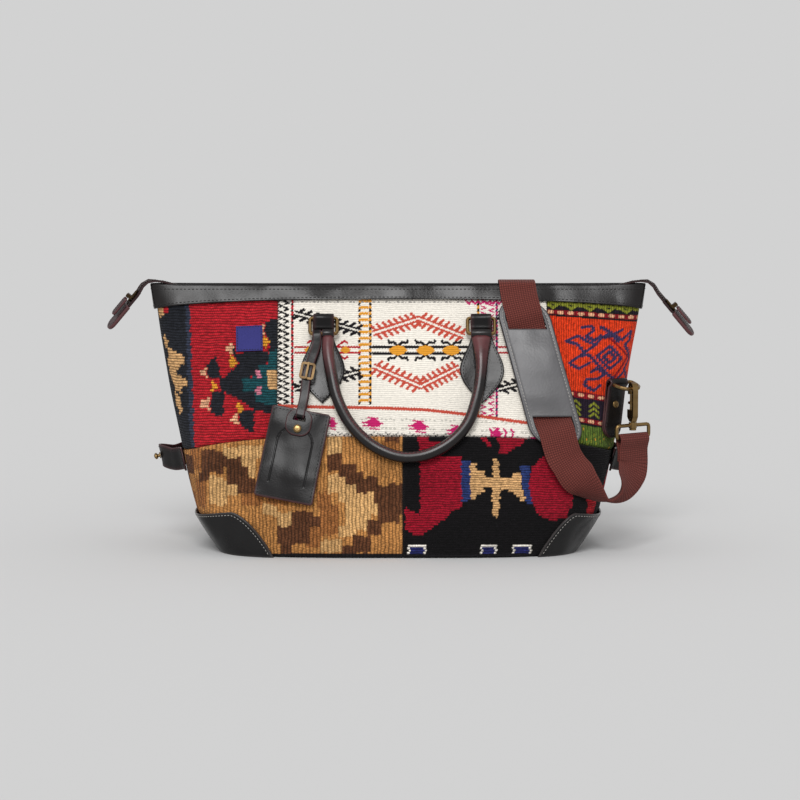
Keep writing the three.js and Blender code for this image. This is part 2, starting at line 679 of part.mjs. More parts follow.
function handle(leftX, leftWidth, rightX, rightWidth) {
  const start = -ringFall - WIRE / 2 - GAP - LEATHER / 2;
  const lifted = ([x, drop, lift]) => facePoint(x, BAR_HEIGHT - drop, lift + HANDLE_RADIUS);
  const points = [
    onHandle(leftX, start, lowerSeat),
    lifted([leftX, HANDLE_TURN_DROP, 4.1]),
    ...HANDLE_PATH.map(lifted),
    lifted([rightX, HANDLE_TURN_DROP, 4.1]),
    onHandle(rightX, start, lowerSeat),
  ];
  const path = new THREE.CatmullRomCurve3(points, false, "centripetal");
  const count = 24;
  const flare = 0.12;
  const frames = Array.from({ length: count + 1 }, (_, i) => {
    const ahead = path.getTangentAt(i / count);
    const side = handleOut.clone().cross(ahead).normalize();
    const fromEnd = min(i, count - i) / count;
    const spread = max(0, 1 - fromEnd / flare) ** 2;
    const wrap = (i < count / 2 ? leftWidth : rightWidth) / (2 * HANDLE_RADIUS);
    const wide = 1 + (wrap - 1) * spread;
    const high = 1 - 0.28 * spread;
    return { at: path.getPointAt(i / count), side, up: ahead.clone().cross(side), wide, high };
  });
  const tube = sweep(frames, circle(HANDLE_RADIUS, 8));
  const loops = [
    [leftX, leftWidth],
    [rightX, rightWidth],
  ].map(([x, width]) => {
    const outline = drawCircle(new THREE.Shape(), -ringFall, lowerSeat, FOLD_RADIUS);
    outline.holes.push(drawCircle(new THREE.Path(), -ringFall, lowerSeat, WIRE / 2 + GAP));
    return acrossX(outline, width).translate(x, 0, 0).applyMatrix4(handleFrame);
  });
  return join(tube, ...loops);
}

for (const [half, turn] of HALVES) {
  const group = new THREE.Group();
  group.rotation.z = turn;
  bag.add(group);
  const names = turn ? ["right", "left"] : ["left", "right"];
  ringX.forEach((x, i) => {
    add(`${half}_handle_tab_${names[i]}`, leafTab(x), BLACK_LEATHER, group);
    const ring = wireLoop(RING_WIDTH, RING_LENGTH, RING_CORNER, RING_CORNER);
    add(`${half}_ring_${names[i]}`, ring, BRASS, group).applyMatrix4(handleRing(x));
  });
  const [x, width] = turn ? [ringX[0], CHAPE_WIDTH] : [sharedWrapX, SHARED_WRAP_WIDTH];
  add(`${half}_handle`, handle(x, width, ringX[1], CHAPE_WIDTH), BROWN_LEATHER, group);
}

// Luggage tag on the front left ring
const TAG_HEIGHT = HEIGHT - TAG_DROP;
const tilted = (x, z, tilt) =>
  skinFrame(faceAngle(x, z), z).multiply(new THREE.Matrix4().makeRotationZ(tilt));
const tagFrame = tilted(TAG_X, TAG_HEIGHT, -TAG_TILT);
const onTag = (x, y, out) => V(x, y, out).applyMatrix4(tagFrame);
const slotY = TAG_LENGTH / 2 - TAG_SLOT_INSET;
const tagSlot = () => box(TAG_SLOT_WIDTH, TAG_SLOT, 0, slotY);
const frontLevel = TAG_SEAT + TAG_LEATHER + GAP;
const tongueLevel = frontLevel + TAG_LEATHER + GAP;
const snapLevel = tongueLevel + TAG_LEATHER + GAP;

function tagPlate(flap) {
  const outline = roundedBox(TAG_WIDTH, TAG_LENGTH, 3);
  outline.holes.push(tagSlot());
  if (flap) {
    const foot = TAG_FLAP_FOOT - TAG_LENGTH / 2;
    const [wide, narrow] = [TAG_FLAP_HALF_WIDTH, TAG_FLAP_HALF_WIDTH - TAG_CUT];
    const crown = 11;
    const slit = new THREE.Path()
      .moveTo(wide, foot)
      .absarc(0, crown, wide, 0, PI)
      .lineTo(-wide, foot)
      .lineTo(-narrow, foot)
      .absarc(0, crown, narrow, PI, 0, true)
      .lineTo(narrow, foot);
    outline.holes.push(slit);
  }
  return slab(outline, TAG_LEATHER);
}

function tagTongue() {
  const [half, top] = [TONGUE_WIDTH / 2, TAG_LENGTH / 2];
  const foot = top - TONGUE_LENGTH + half;
  const outline = new THREE.Shape()
    .moveTo(half, top)
    .lineTo(-half, top)
    .absarc(0, foot, half, PI, 2 * PI);
  outline.holes.push(tagSlot());
  return slab(outline, TAG_LEATHER);
}

function snapButton() {
  const profile = [flat(0, 0), flat(SNAP_RADIUS, 0), flat(SNAP_RADIUS, 0.9), flat(2.6, 1.8), flat(0, 2)];
  return new THREE.LatheGeometry(profile, 14).rotateX(PI / 2);
}

add("tag_back", tagPlate(false).translate(0, 0, TAG_SEAT), BLACK_LEATHER).applyMatrix4(tagFrame);
add("tag_front", tagPlate(true).translate(0, 0, frontLevel), BLACK_LEATHER).applyMatrix4(tagFrame);
add("tag_tongue", tagTongue().translate(0, 0, tongueLevel), BLACK_LEATHER).applyMatrix4(tagFrame);
const snapY = TAG_LENGTH / 2 - TONGUE_LENGTH + SNAP_RADIUS + 3;
add("tag_snap", snapButton().translate(0, snapY, snapLevel), BRASS).applyMatrix4(tagFrame);

function tagStrap() {
  const bar = onHandle(tagStrapX, -ringFall, lowerSeat);
  const loop = WIRE / 2 + GAP + TAG_STRAP / 2 + 0.5;
  const rise = V(0, 1, 0).transformDirection(handleFrame);
  const over = snapLevel + TAG_STRAP / 2;
  const under = TAG_SEAT - GAP - TAG_STRAP / 2;
  const buckleZ = HEIGHT - BUCKLE_DROP;
  const topY = TAG_LENGTH / 2;
  const leafTop = LAY + LEATHER + GAP + TAG_STRAP / 2;
  const points = [
    bar.clone().addScaledVector(rise, loop),
    bar.clone().addScaledVector(handleOut, loop),
    bar.clone().addScaledVector(rise, -11).addScaledVector(handleOut, 2.6),
    facePoint(BUCKLE_X, buckleZ, over + 0.6),
    onTag(0, topY + 14, over + 0.3),
    onTag(0, topY - 1, over),
    onTag(0, slotY + 1.6, over),
    onTag(0, slotY, (over + under) / 2),
    onTag(0, slotY + 1.6, under),
    onTag(0, topY - 1, under),
    onTag(0, topY + 14, under + 0.9),
    facePoint(BUCKLE_X, buckleZ, leafTop + 0.6),
    bar.clone().addScaledVector(rise, -11).addScaledVector(handleOut, -2.8),
    bar.clone().addScaledVector(handleOut, -loop),
  ];
  const across = V(1, 0, 0);
  const slotAcross = V(1, 0, 0).transformDirection(tagFrame);
  const onBar = (i) => i < 3 || i > 11;
  const stations = points.map((at, i) => ({ at, side: onBar(i) ? across : slotAcross }));
  return sweep(ribbonFrames(stations, 42, true), strip(TAG_STRAP_WIDTH, TAG_STRAP), true);
}
add("tag_strap", tagStrap(), BLACK_LEATHER);

const buckleFrame = tilted(BUCKLE_X, HEIGHT - BUCKLE_DROP, -TAG_TILT);
const buckleLevel = snapLevel + TAG_STRAP + 0.6 + 2 * GAP;
function tagBuckle() {
  const outline = roundedBox(BUCKLE_WIDTH, BUCKLE_LENGTH, 3);
  outline.holes.push(box(BUCKLE_WIDTH - 2 * BUCKLE_BAR, BUCKLE_LENGTH - 2 * BUCKLE_BAR, 0, 0));
  return slab(outline, BUCKLE);
}
const pinShape = roundedBox(2, BUCKLE_LENGTH, 0.9);
const pinHeight = buckleLevel + BUCKLE + GAP;
add("tag_buckle", tagBuckle().translate(0, 0, buckleLevel), BRASS).applyMatrix4(buckleFrame);
add("tag_buckle_pin", slab(pinShape, BUCKLE).translate(0, 0, pinHeight), BRASS).applyMatrix4(buckleFrame);

// Strap ends: a folded tab, a ring standing out from it, a hook hanging on the ring and the strap's eye
const SIDE_RING_HEIGHT = HEIGHT - SIDE_RING_DROP;
const ROD_SEAT = HOOK_SHOULDER + HOOK_MOUTH - ROD_EASE - WIRE / 2;

// The right end hangs straight down, and the left end lies along the back of the bag.
function strapEndFrames(tab, hang, fall, turn) {
  const across = V(1, 0, 0).transformDirection(tab);
  const outward = across.clone().cross(hang).normalize();
  const bar = V(0, 0, BAR_SEAT).applyMatrix4(tab);
  const way = outward.clone().multiplyScalar(cos(fall)).addScaledVector(hang, -sin(fall));
  const back = way.clone().negate();
  const ring = new THREE.Matrix4().makeBasis(across, back, across.clone().cross(back)).setPosition(bar);
  const foot = bar.clone().addScaledVector(way, SIDE_RING_LENGTH).addScaledVector(hang, -ROD_SEAT);
  const hookOut = outward.clone().applyAxisAngle(hang, turn);
  const hook = new THREE.Matrix4().makeBasis(hookOut, hang, hookOut.clone().cross(hang)).setPosition(foot);
  const eye = new THREE.Matrix4().makeBasis(across, hang, outward).setPosition(foot);
  return { tab, across, outward, hang, ring, hook, eye };
}
const rightTab = skinFrame(RIGHT_TAB_ANGLE, SIDE_RING_HEIGHT);
const leftTab = skinFrame(LEFT_TAB_ANGLE, SIDE_RING_HEIGHT);
const rightEndFrames = strapEndFrames(rightTab, UP, RIGHT_RING_FALL, RIGHT_HOOK_TURN);
const leftRise = V(0, 1, 0).transformDirection(leftTab);
const leftEndFrames = strapEndFrames(leftTab, leftRise, LEFT_RING_FALL, LEFT_HOOK_TURN);
const hookInner = HOOK_MOUTH;
const hookOuter = HOOK_MOUTH + HOOK_ARM;
const boltX = -(HOOK_MOUTH + HOOK_ARM / 2);
const eyeLevel = -2 * GAP - BOSS / 2;

function hookBody() {
  const outline = new THREE.Shape()
    .moveTo(-POST_HEAD_RADIUS, 0)
    .lineTo(POST_HEAD_RADIUS, 0)
    .lineTo(hookOuter, HOOK_BASE / 2)
    .absarc(0, HOOK_SHOULDER, hookOuter, 0, PI)
    .lineTo(-hookOuter, HOOK_TIP)
    .lineTo(-hookInner, HOOK_TIP)
    .absarc(0, HOOK_SHOULDER, hookInner, PI, 0, true)
    .lineTo(hookInner, HOOK_BASE)
    .lineTo(-HOOK_BASE_REACH, HOOK_BASE)
    .lineTo(-HOOK_BASE_REACH, HOOK_BASE / 3);
  const body = slab(outline, HOOK).translate(0, 0, -HOOK / 2);
  const boreDepth = HOOK_BASE - BOLT_FOOT + BOLT_TRAVEL + 1;
  const bore = new THREE.CylinderGeometry(BOLT_RADIUS + GAP, BOLT_RADIUS + GAP, boreDepth + 1, 12);
  bore.translate(boltX, HOOK_BASE - boreDepth / 2 + 0.5, 0);
  const postFoot = eyeLevel - BOSS / 2 - GAP;
  const postLength = POST_HEAD / 2 - postFoot + 2;
  const post = new THREE.CylinderGeometry(POST_RADIUS, POST_RADIUS, postLength, 12);
  post.translate(0, 2 - postLength / 2, 0);
  const head = new THREE.CylinderGeometry(POST_HEAD_RADIUS, POST_HEAD_RADIUS, POST_HEAD, 12);
  head.translate(0, postFoot - POST_HEAD / 2, 0);
  return cut(join(body, post, head), bore);
}

function hookBolt() {
  const length = HOOK_TIP - GAP - BOLT_FOOT;
  const rod = new THREE.CylinderGeometry(BOLT_RADIUS, BOLT_RADIUS, length, 12);
  rod.translate(boltX, BOLT_FOOT + length / 2, 0);
  const knob = new THREE.CylinderGeometry(KNOB_RADIUS, KNOB_RADIUS, KNOB_LENGTH, 12).rotateZ(PI / 2);
  const knobLevel = HOOK_BASE + BOLT_TRAVEL + 1 + KNOB_RADIUS;
  return join(rod, knob.translate(boltX - KNOB_LENGTH / 2, knobLevel, 0));
}

const EYE_WIDTH = WEB_WIDTH + WIRE + 2 * EYE_SIDE_EASE;
function strapEye() {
  const loop = wireLoop(EYE_WIDTH, EYE_LENGTH, RING_CORNER, RING_CORNER).translate(0, eyeLevel, 0);
  const boss = new THREE.CylinderGeometry(BOSS_RADIUS, BOSS_RADIUS, BOSS, 14).translate(0, eyeLevel, 0);
  const hole = new THREE.CylinderGeometry(POST_RADIUS + GAP, POST_RADIUS + GAP, 2 * BOSS, 12);
  return cut(join(loop, boss), hole.translate(0, eyeLevel, 0));
}

// A strap across the end of the bag, standing off it in the middle.
function cinchStrap() {
  const lean = cinchLean();
  const seat = LAY + CINCH / 2;
  const endAngle = (y) => asin((abs(y) / halfSizes(CINCH_HEIGHT)[1]) ** (CORNER_POWER / 2)) * sign(-y);
  const onEnd = (y, out) => {
    const angle = endAngle(y);
    return skinPoint(angle, CINCH_HEIGHT).addScaledVector(skinNormal(angle, CINCH_HEIGHT), out);
  };
  const points = [
    onEnd(-CINCH_SEWN, seat),
    onEnd(-CINCH_LEAVE, seat + 0.6),
    onEnd(-CINCH_LEAVE + 10, seat + 0.42 * CINCH_REACH),
    cinchTip,
    onEnd(CINCH_LEAVE - 10, seat + 0.42 * CINCH_REACH),
    onEnd(CINCH_LEAVE, seat + 0.6),
    onEnd(CINCH_SEWN, seat),
  ];
  const stations = points.map((at) => ({ at, side: lean }));
  return sweep(ribbonFrames(stations, 18), strip(CINCH_WIDTH, CINCH));
}

function stud() {
  const profile = [
    flat(0, 0),
    flat(STUD_RADIUS, 0),
    flat(STUD_RADIUS, 0.8),
    flat(STUD_RADIUS / 2, 1.4),
    flat(STUD_RADIUS / 2, 2.6),
    flat(STUD_RADIUS, 3.8),
    flat(STUD_RADIUS, 5.4),
    flat(STUD_RADIUS / 2, 6.6),
    flat(0, 7),
  ];
  return new THREE.LatheGeometry(profile, 12).rotateZ(-PI / 2);
}

function cinchLean() {
  const [low] = halfSizes(CINCH_HEIGHT - CINCH_WIDTH / 2);
  const [high] = halfSizes(CINCH_HEIGHT + CINCH_WIDTH / 2);
  return V(high - low, 0, CINCH_WIDTH).normalize();
}

function endTab() {
  const [half, length] = [END_TAB_WIDTH / 2, END_TAB_LENGTH];
  const outline = new THREE.Shape()
    .moveTo(0, -half)
    .lineTo(length - half, -half)
    .absarc(length - half, 0, half, -PI / 2, PI / 2)
    .lineTo(0, half);
  return slab(outline, END_TAB).translate(0, 0, -END_TAB / 2);
}

const tailUp = V(sin(TAIL_FALL), 0, cos(TAIL_FALL));
const tailFrame = (distance, level) =>
  new THREE.Matrix4()
    .makeBasis(tailWay, V(0, 1, 0), tailUp)
    .setPosition(onTail(distance).addScaledVector(tailUp, level));
const cinchTip = V(halfSizes(CINCH_HEIGHT)[0] + CINCH_REACH, 0, CINCH_HEIGHT);
const studOut = V(0, 1, 0).cross(cinchLean());
const studFrame = new THREE.Matrix4()
  .makeBasis(studOut, V(0, 1, 0), cinchLean())
  .setPosition(cinchTip.clone().addScaledVector(studOut, CINCH / 2 + GAP));

const ENDS = [
  ["right", 0, rightEndFrames, RIGHT_SLIDER_PLACE, RIGHT_TAIL_TAPE],
  ["left", PI, leftEndFrames, LEFT_SLIDER_PLACE, LEFT_TAIL_TAPE],
];
for (const [side, turn, frames, sliderPlace, tailTape] of ENDS) {
  const end = new THREE.Group();
  end.rotation.z = turn;
  bag.add(end);
  add(`${side}_zip_end_tab`, endTab(), MAROON_LEATHER, end).applyMatrix4(tailFrame(tailTape + GAP, 0));
  add(`${side}_zip_slider`, zipSlider(), BRASS, end).applyMatrix4(tailFrame(sliderPlace, 0));
  const pullFrame = tailFrame(sliderPlace + pinPlace, pinLevel);
  add(`${side}_zip_pull`, zipPull(), MAROON_LEATHER, end).applyMatrix4(pullFrame);
  add(`${side}_ring_tab`, foldedTab(TAB_LENGTH, TAB_WIDTH), BLACK_LEATHER, end).applyMatrix4(frames.tab);
  const ring = wireLoop(SIDE_RING_WIDTH, SIDE_RING_LENGTH, SIDE_RING_NEAR_CORNER, SIDE_RING_FAR_CORNER);
  add(`${side}_side_ring`, ring, BRASS, end).applyMatrix4(frames.ring);
  add(`${side}_hook`, hookBody(), BRASS, end).applyMatrix4(frames.hook);
  add(`${side}_hook_bolt`, hookBolt(), BRASS, end).applyMatrix4(frames.hook);
  add(`${side}_strap_eye`, strapEye(), BRASS, end).applyMatrix4(frames.eye);
  add(`${side}_cinch_strap`, cinchStrap(), BLACK_LEATHER, end);
  add(`${side}_cinch_stud`, stud(), BRASS, end).applyMatrix4(studFrame);
}

// Shoulder pad: a padded leather strip with two slots that the webbing passes through
const PAD_HEIGHT = HEIGHT - PAD_DROP;
const padLean = Math.atan(PAD_SHIFT);
const padX = (z) => PAD_X - PAD_SHIFT * (z - PAD_HEIGHT);
const slotHeights = [PAD_HEIGHT - SLOT_RISE, PAD_HEIGHT + SLOT_RISE];

function shoulderPad() {
  const halfWidth = (z) => {
    const past = max(0, abs(z - PAD_HEIGHT) - PAD_HALF_RISE + PAD_ROUND);
    return PAD_HALF_WIDTH - PAD_ROUND + sqrt(max(0, PAD_ROUND ** 2 - past ** 2));
  };
  const side = (way) => (share) => {
    const z = share * HEIGHT;
    return faceAngle(padX(z) + way * halfWidth(z), z);
  };
  const pad = skinPiece({
    from: side(1),
    to: side(-1),
    low: always((PAD_HEIGHT - PAD_HALF_RISE) / HEIGHT),
    high: always((PAD_HEIGHT + PAD_HALF_RISE) / HEIGHT),
    columns: even(5),
    rows: [0, 0.03, 0.08, 0.14, 0.3, 0.5, 0.7, 0.86, 0.92, 0.97, 1],
    outer: PAD_LIFT + PAD,
    inner: PAD_LIFT,
  });
  const slots = slotHeights.map((z) => {
    const tool = new THREE.BoxGeometry(WEB_WIDTH + 2, 2 * SLOT_HALF_HEIGHT, 6 * PAD);
    return tool.translate(0, 0, PAD_LIFT).applyMatrix4(tilted(padX(z), z, padLean));
  });
  return cut(pad, ...slots);
}
add("shoulder_pad", shoulderPad(), PAD_LEATHER);

// Shoulder strap: one length of webbing from the right eye over the front, the mouth and the back
function onFace(x, z, out, lean) {
  const frame = skinFrame(faceAngle(x, z), z);
  return { at: facePoint(x, z, out), side: V(cos(lean), sin(lean), 0).transformDirection(frame) };
}
function onBack(x, z, out, lean) {
  const { at, side } = onFace(-x, z, out, radians(180 + lean));
  return { at: at.multiply(V(-1, -1, 1)), side: side.multiply(V(-1, -1, 1)) };
}
const station = (at, side) => ({ at, side });

function strapEnd({ across, outward, hang, eye }) {
  const bar = V(0, eyeLevel - EYE_LENGTH, 0).applyMatrix4(eye);
  const side = across.clone().negate();
  const loop = WIRE / 2 + GAP + WEB / 2 + 2 * GAP;
  const leg = WEB / 2 + GAP;
  const at = (out, rise) => station(bar.clone().addScaledVector(outward, out).addScaledVector(hang, rise), side);
  return [
    at(-leg, -FOLDED_END),
    at(-leg, -FOLDED_END / 2),
    at(-loop, -0.5),
    at(0, loop),
    at(loop, -0.5),
    at(leg, -FOLDED_END / 2),
    at(leg + 0.2, -FOLDED_END - 2),
  ];
}

function strapStations() {
  const over = PAD_LIFT + PAD + LAY + WEB / 2;
  const under = LAY + WEB / 2;
  const [lowSlot, highSlot] = slotHeights;
  const ramp = SLOT_HALF_HEIGHT - SLOT_EASE;
  const padEnd = PAD_HALF_RISE;
  const onPad = (z, out) => onFace(padX(z), z, out, padLean);
  const rim = TOP_HALF_DEPTH + LAY + LEATHER;
  const crest = HEIGHT + BAND_STAND + WEB / 2;
  const overMouth = (y, rise) => station(V(STRAP_TOP_X, y, crest + rise), V(1, 0, 0));
  const end = strapEnd(rightEndFrames);
  const legFoot = end[end.length - 1].at;
  const past = (x, y, z) => legFoot.clone().add(V(x, y, z));
  const farEnd = strapEnd(leftEndFrames).map((s) => station(s.at.multiply(V(-1, -1, 1)), s.side));
  return [
    ...end,
    station(past(-3, -6, -12), V(-0.75, -0.62, 0.2)),
    station(past(-10, -14, -25), V(-0.5, -0.82, 0.25)),
    station(past(-21, -22, -33), V(-0.15, -0.97, 0.1)),
    station(past(-35, -29, -35), V(0.25, -0.95, 0.15)),
    station(facePoint(184, 73, 18), V(0.72, -0.5, 0.45)),
    onFace(173, 94, 9, radians(18)),
    onPad(PAD_HEIGHT - padEnd - 9, over),
    onPad(lowSlot - ramp, over),
    onPad(lowSlot + ramp, under),
    onPad(PAD_HEIGHT - 26, under),
    onPad(PAD_HEIGHT, under),
    onPad(PAD_HEIGHT + 26, under),
    onPad(highSlot - ramp, under),
    onPad(highSlot + ramp, over),
    onPad(PAD_HEIGHT + padEnd, over),
    onFace(STRAP_TOP_X + 1, HEIGHT - 5, 6, radians(6)),
    overMouth(-rim - 1, 0.6),
    overMouth(-rim / 2, 2.2),
    overMouth(rim / 2, 2.2),
    overMouth(rim + 1, 0.6),
    onBack(STRAP_TOP_X + 1, HEIGHT - 5, 6, 0),
    onBack(126, 240, 3, 0),
    onBack(126, 200, 2.4, 2),
    onBack(121, 160, 2.4, 14),
    onBack(106, 124, 2.4, 32),
    onBack(80, 93, 2.6, 55),
    onBack(45, 74, 2.8, 76),
    onBack(0, 66, 3, 87),
    onBack(-50, 63, 3, 91),
    onBack(-100, 64, 4, 97),
    onBack(-138, 67, 8, 110),
    onBack(-165, 75, 14, 133),
    onBack(-181, 86, 19, 157),
    ...farEnd.reverse(),
  ];
}
const stations = strapStations();
const webFrames = ribbonFrames(stations, 2 * (stations.length - 1));
add("shoulder_strap", sweep(webFrames, strip(WEB_WIDTH, WEB)), WEBBING);

export default bag;
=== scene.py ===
# %% [markdown]
# # A kilim weekender bag
# The bag is a soft, lofted shell of five woven patches on the front and four on the back, trimmed with
# black leather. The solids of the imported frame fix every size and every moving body. This script dresses
# them: it lays woven cloth, leather, webbing and stitches over the same shape, and gives the brass its
# finish.

# %% Load the frame
import math

import bmesh
import bpy
import numpy as np
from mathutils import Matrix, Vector


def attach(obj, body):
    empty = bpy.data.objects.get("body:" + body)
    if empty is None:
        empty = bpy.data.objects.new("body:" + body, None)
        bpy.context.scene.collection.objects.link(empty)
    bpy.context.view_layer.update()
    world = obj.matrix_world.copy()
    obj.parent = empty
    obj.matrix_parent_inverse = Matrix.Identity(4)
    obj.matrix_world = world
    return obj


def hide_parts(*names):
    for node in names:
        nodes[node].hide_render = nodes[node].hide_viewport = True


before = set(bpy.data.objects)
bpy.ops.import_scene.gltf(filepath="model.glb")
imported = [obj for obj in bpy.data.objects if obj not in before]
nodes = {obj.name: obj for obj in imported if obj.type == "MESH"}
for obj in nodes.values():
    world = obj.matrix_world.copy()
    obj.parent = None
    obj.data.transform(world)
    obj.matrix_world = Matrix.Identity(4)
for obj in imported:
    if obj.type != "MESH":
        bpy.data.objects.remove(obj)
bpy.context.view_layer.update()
scene = bpy.context.scene

# %% [markdown]
# ## The shape of the bag
# At each height the bag is a rounded oblong, long and thin at the mouth and wide at the foot. One formula
# gives it, so cloth, leather and seams all follow the same skin. Angles run from the right end (0) over
# the front (a quarter turn) to the left end and the back. Sizes here are millimetres; meshes are made in
# metres.

# %% The skin of the bag
BAG_HEIGHT = 272.0
FOOT_HALF_LENGTH, MOUTH_HALF_LENGTH, LENGTH_BULGE = 200, 255.5, 4.5
FOOT_HALF_DEPTH, MOUTH_HALF_DEPTH, DEPTH_BULGE = 112, 14, 9
FOOT_TUCK, TUCK_HEIGHT = 16, 45
END_DIP = 20
CLOTH_LAY = 0.6
LEATHER = 2.5
WIRE = 4.0
GAP = 0.3


def half_sizes(z):
    share = np.asarray(z, float) / BAG_HEIGHT
    bulge = 4 * share * (1 - share)
    tuck = FOOT_TUCK * np.clip(1 - np.asarray(z, float) / TUCK_HEIGHT, 0, None) ** 1.25
    length = FOOT_HALF_LENGTH + (MOUTH_HALF_LENGTH - FOOT_HALF_LENGTH) * share + LENGTH_BULGE * bulge - tuck
    depth = FOOT_HALF_DEPTH + (MOUTH_HALF_DEPTH - FOOT_HALF_DEPTH) * share + DEPTH_BULGE * bulge - tuck
    return length, depth


def skin(angle, z, out=0.0):
    a, b = half_sizes(z)
    c, s = np.cos(angle), np.sin(angle)
    x = (a + out) * np.sign(c) * np.sqrt(np.abs(c))
    y = -(b + out) * np.sign(s) * np.sqrt(np.abs(s))
    return np.stack(np.broadcast_arrays(x, y, np.asarray(z, float)), -1)


def unit(v):
    return v / np.maximum(np.linalg.norm(v, axis=-1, keepdims=True), 1e-12)


def skin_normal(angle, z):
    along = skin(angle + 0.01, z) - skin(angle - 0.01, z)
    return unit(np.cross(skin(angle, z + 1) - skin(angle, z - 1), along))


def face_angle(x, z):
    share = np.clip(np.abs(x) / half_sizes(z)[0], 0, 1) ** 2
    return np.arccos(np.sign(x) * share)


def row_height(angle, share):
    """Height of a level row of cloth, which hangs lower towards the ends of the bag."""
    return share * BAG_HEIGHT - END_DIP * np.cos(angle) ** 2 * 4 * share * (1 - share)


def face_point(x, z, out):
    angle = face_angle(np.asarray(x, float), np.asarray(z, float))
    return skin(angle, z) + skin_normal(angle, np.asarray(z, float)) * np.asarray(out, float)[..., None]


def skin_axes(angle, z):
    out = skin_normal(angle, z)
    across = unit(np.cross([0, 0, 1.0], out))
    return skin(angle, z), across, np.cross(out, across), out


def run_of(points):
    """Distance along a line of points, from the first to each of them."""
    return np.concatenate([[0], np.cumsum(np.linalg.norm(np.diff(points, axis=0), axis=-1))])


def path_length(points):
    return float(np.linalg.norm(np.diff(points, axis=0), axis=-1).sum())


def half_turn(turned):
    """Factors that carry a place to the opposite side of the bag, or leave it."""
    return np.array([-1, -1, 1]) if turned else np.array([1, 1, 1])


for label, z in (("mouth", BAG_HEIGHT), ("foot", 0.0)):
    print(label, "half sizes:", [round(float(v)) for v in half_sizes(z)])

# %% [markdown]
# ## Making meshes quickly
# Cloth patches hold tens of thousands of points, because each point carries the colour of its knot of
# wool. They are filled in from arrays. A grid can be closed into a tube, and any mesh can carry a colour,
# an edge mask and flat cloth coordinates in millimetres for the weave.

# %% Mesh helpers


def make_mesh(name, points, faces, body, finish, smooth=True):
    mesh = bpy.data.meshes.new(name)
    points = np.asarray(points, float).reshape(-1, 3) / 1000
    faces = [np.asarray(f, np.int32) for f in faces]
    mesh.vertices.add(len(points))
    mesh.vertices.foreach_set("co", points.astype(np.float32).ravel())
    corners = np.concatenate([f.ravel() for f in faces])
    sizes = np.concatenate([np.full(len(f), f.shape[1], np.int32) for f in faces])
    mesh.loops.add(len(corners))
    mesh.loops.foreach_set("vertex_index", corners)
    mesh.polygons.add(len(sizes))
    mesh.polygons.foreach_set("loop_start", np.concatenate([[0], np.cumsum(sizes)[:-1]]).astype(np.int32))
    mesh.update(calc_edges=True)
    mesh.validate()
    mesh.polygons.foreach_set("use_smooth", np.full(len(mesh.polygons), smooth))
    piece = bpy.data.objects.new(name, mesh)
    scene.collection.objects.link(piece)
    mesh.materials.append(finish)
    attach(piece, body)
    return piece


def grid_faces(rows, columns, wrap_rows=False, wrap_columns=False):
    r = np.arange(rows if wrap_rows else rows - 1)
    c = np.arange(columns if wrap_columns else columns - 1)
    r, c = np.meshgrid(r, c, indexing="ij")
    r2, c2 = (r + 1) % rows, (c + 1) % columns
    corners = [r * columns + c, r * columns + c2, r2 * columns + c2, r2 * columns + c]
    return np.stack(corners, -1).reshape(-1, 4)


def set_colour(piece, name, colours):
    layer = piece.data.attributes.new(name, "FLOAT_COLOR", "POINT")
    full = np.ones((len(piece.data.vertices), 4), np.float32)
    full[:, :3] = np.asarray(colours, np.float32).reshape(-1, 3)
    layer.data.foreach_set("color", full.ravel())


def set_mask(piece, name, values):
    layer = piece.data.attributes.new(name, "FLOAT", "POINT")
    layer.data.foreach_set("value", np.asarray(values, np.float32).ravel())


def set_flat(piece, flat):
    layer = piece.data.uv_layers.new(name="cloth_mm")
    index = np.zeros(len(piece.data.loops), np.int32)
    piece.data.loops.foreach_get("vertex_index", index)
    layer.data.foreach_set("uv", np.asarray(flat, np.float32).reshape(-1, 2)[index].ravel())


def face_outward(piece):
    """Turns the faces of a closed piece so that they all look out."""
    work = bmesh.new()
    work.from_mesh(piece.data)
    bmesh.ops.recalc_face_normals(work, faces=work.faces)
    work.to_mesh(piece.data)
    work.free()
    return piece


def linear(colour):
    c = np.asarray(colour, float) / 255
    return np.where(c <= 0.04045, c / 12.92, ((c + 0.055) / 1.055) ** 2.4)


print("mesh helpers ready")

# %% [markdown]
# ## Camera and light
# The photograph looks at the front from a little above, from far away. Under an even sky, a flat floor of
# one grey comes out as that same grey, so sky and floor share it and no horizon shows. A broad, soft sun
# from the upper left gives the leather its sheen and the bag its shadow.

# %% Camera, sky, sun and floor
BACKDROP = linear((210, 210, 210))
PICTURE_SIZE, FOCAL_LENGTH = 800, 3047.0
SENSOR = 36
VIEW_DISTANCE, AIM_HEIGHT = 3200, 153
camera = bpy.data.objects.new("camera", bpy.data.cameras.new("camera"))
scene.collection.objects.link(camera)
camera.data.sensor_width = SENSOR
camera.data.lens = FOCAL_LENGTH / PICTURE_SIZE * SENSOR
tilt = math.radians(6)
aim = Vector((0.0021, 0, AIM_HEIGHT / 1000))
camera.location = aim + VIEW_DISTANCE / 1000 * Vector((0, -math.cos(tilt), math.sin(tilt)))
camera.rotation_euler = (math.radians(90) - tilt, 0, 0)
camera.data.clip_end = 100
scene.camera = camera
scene.view_settings.view_transform = "Standard"

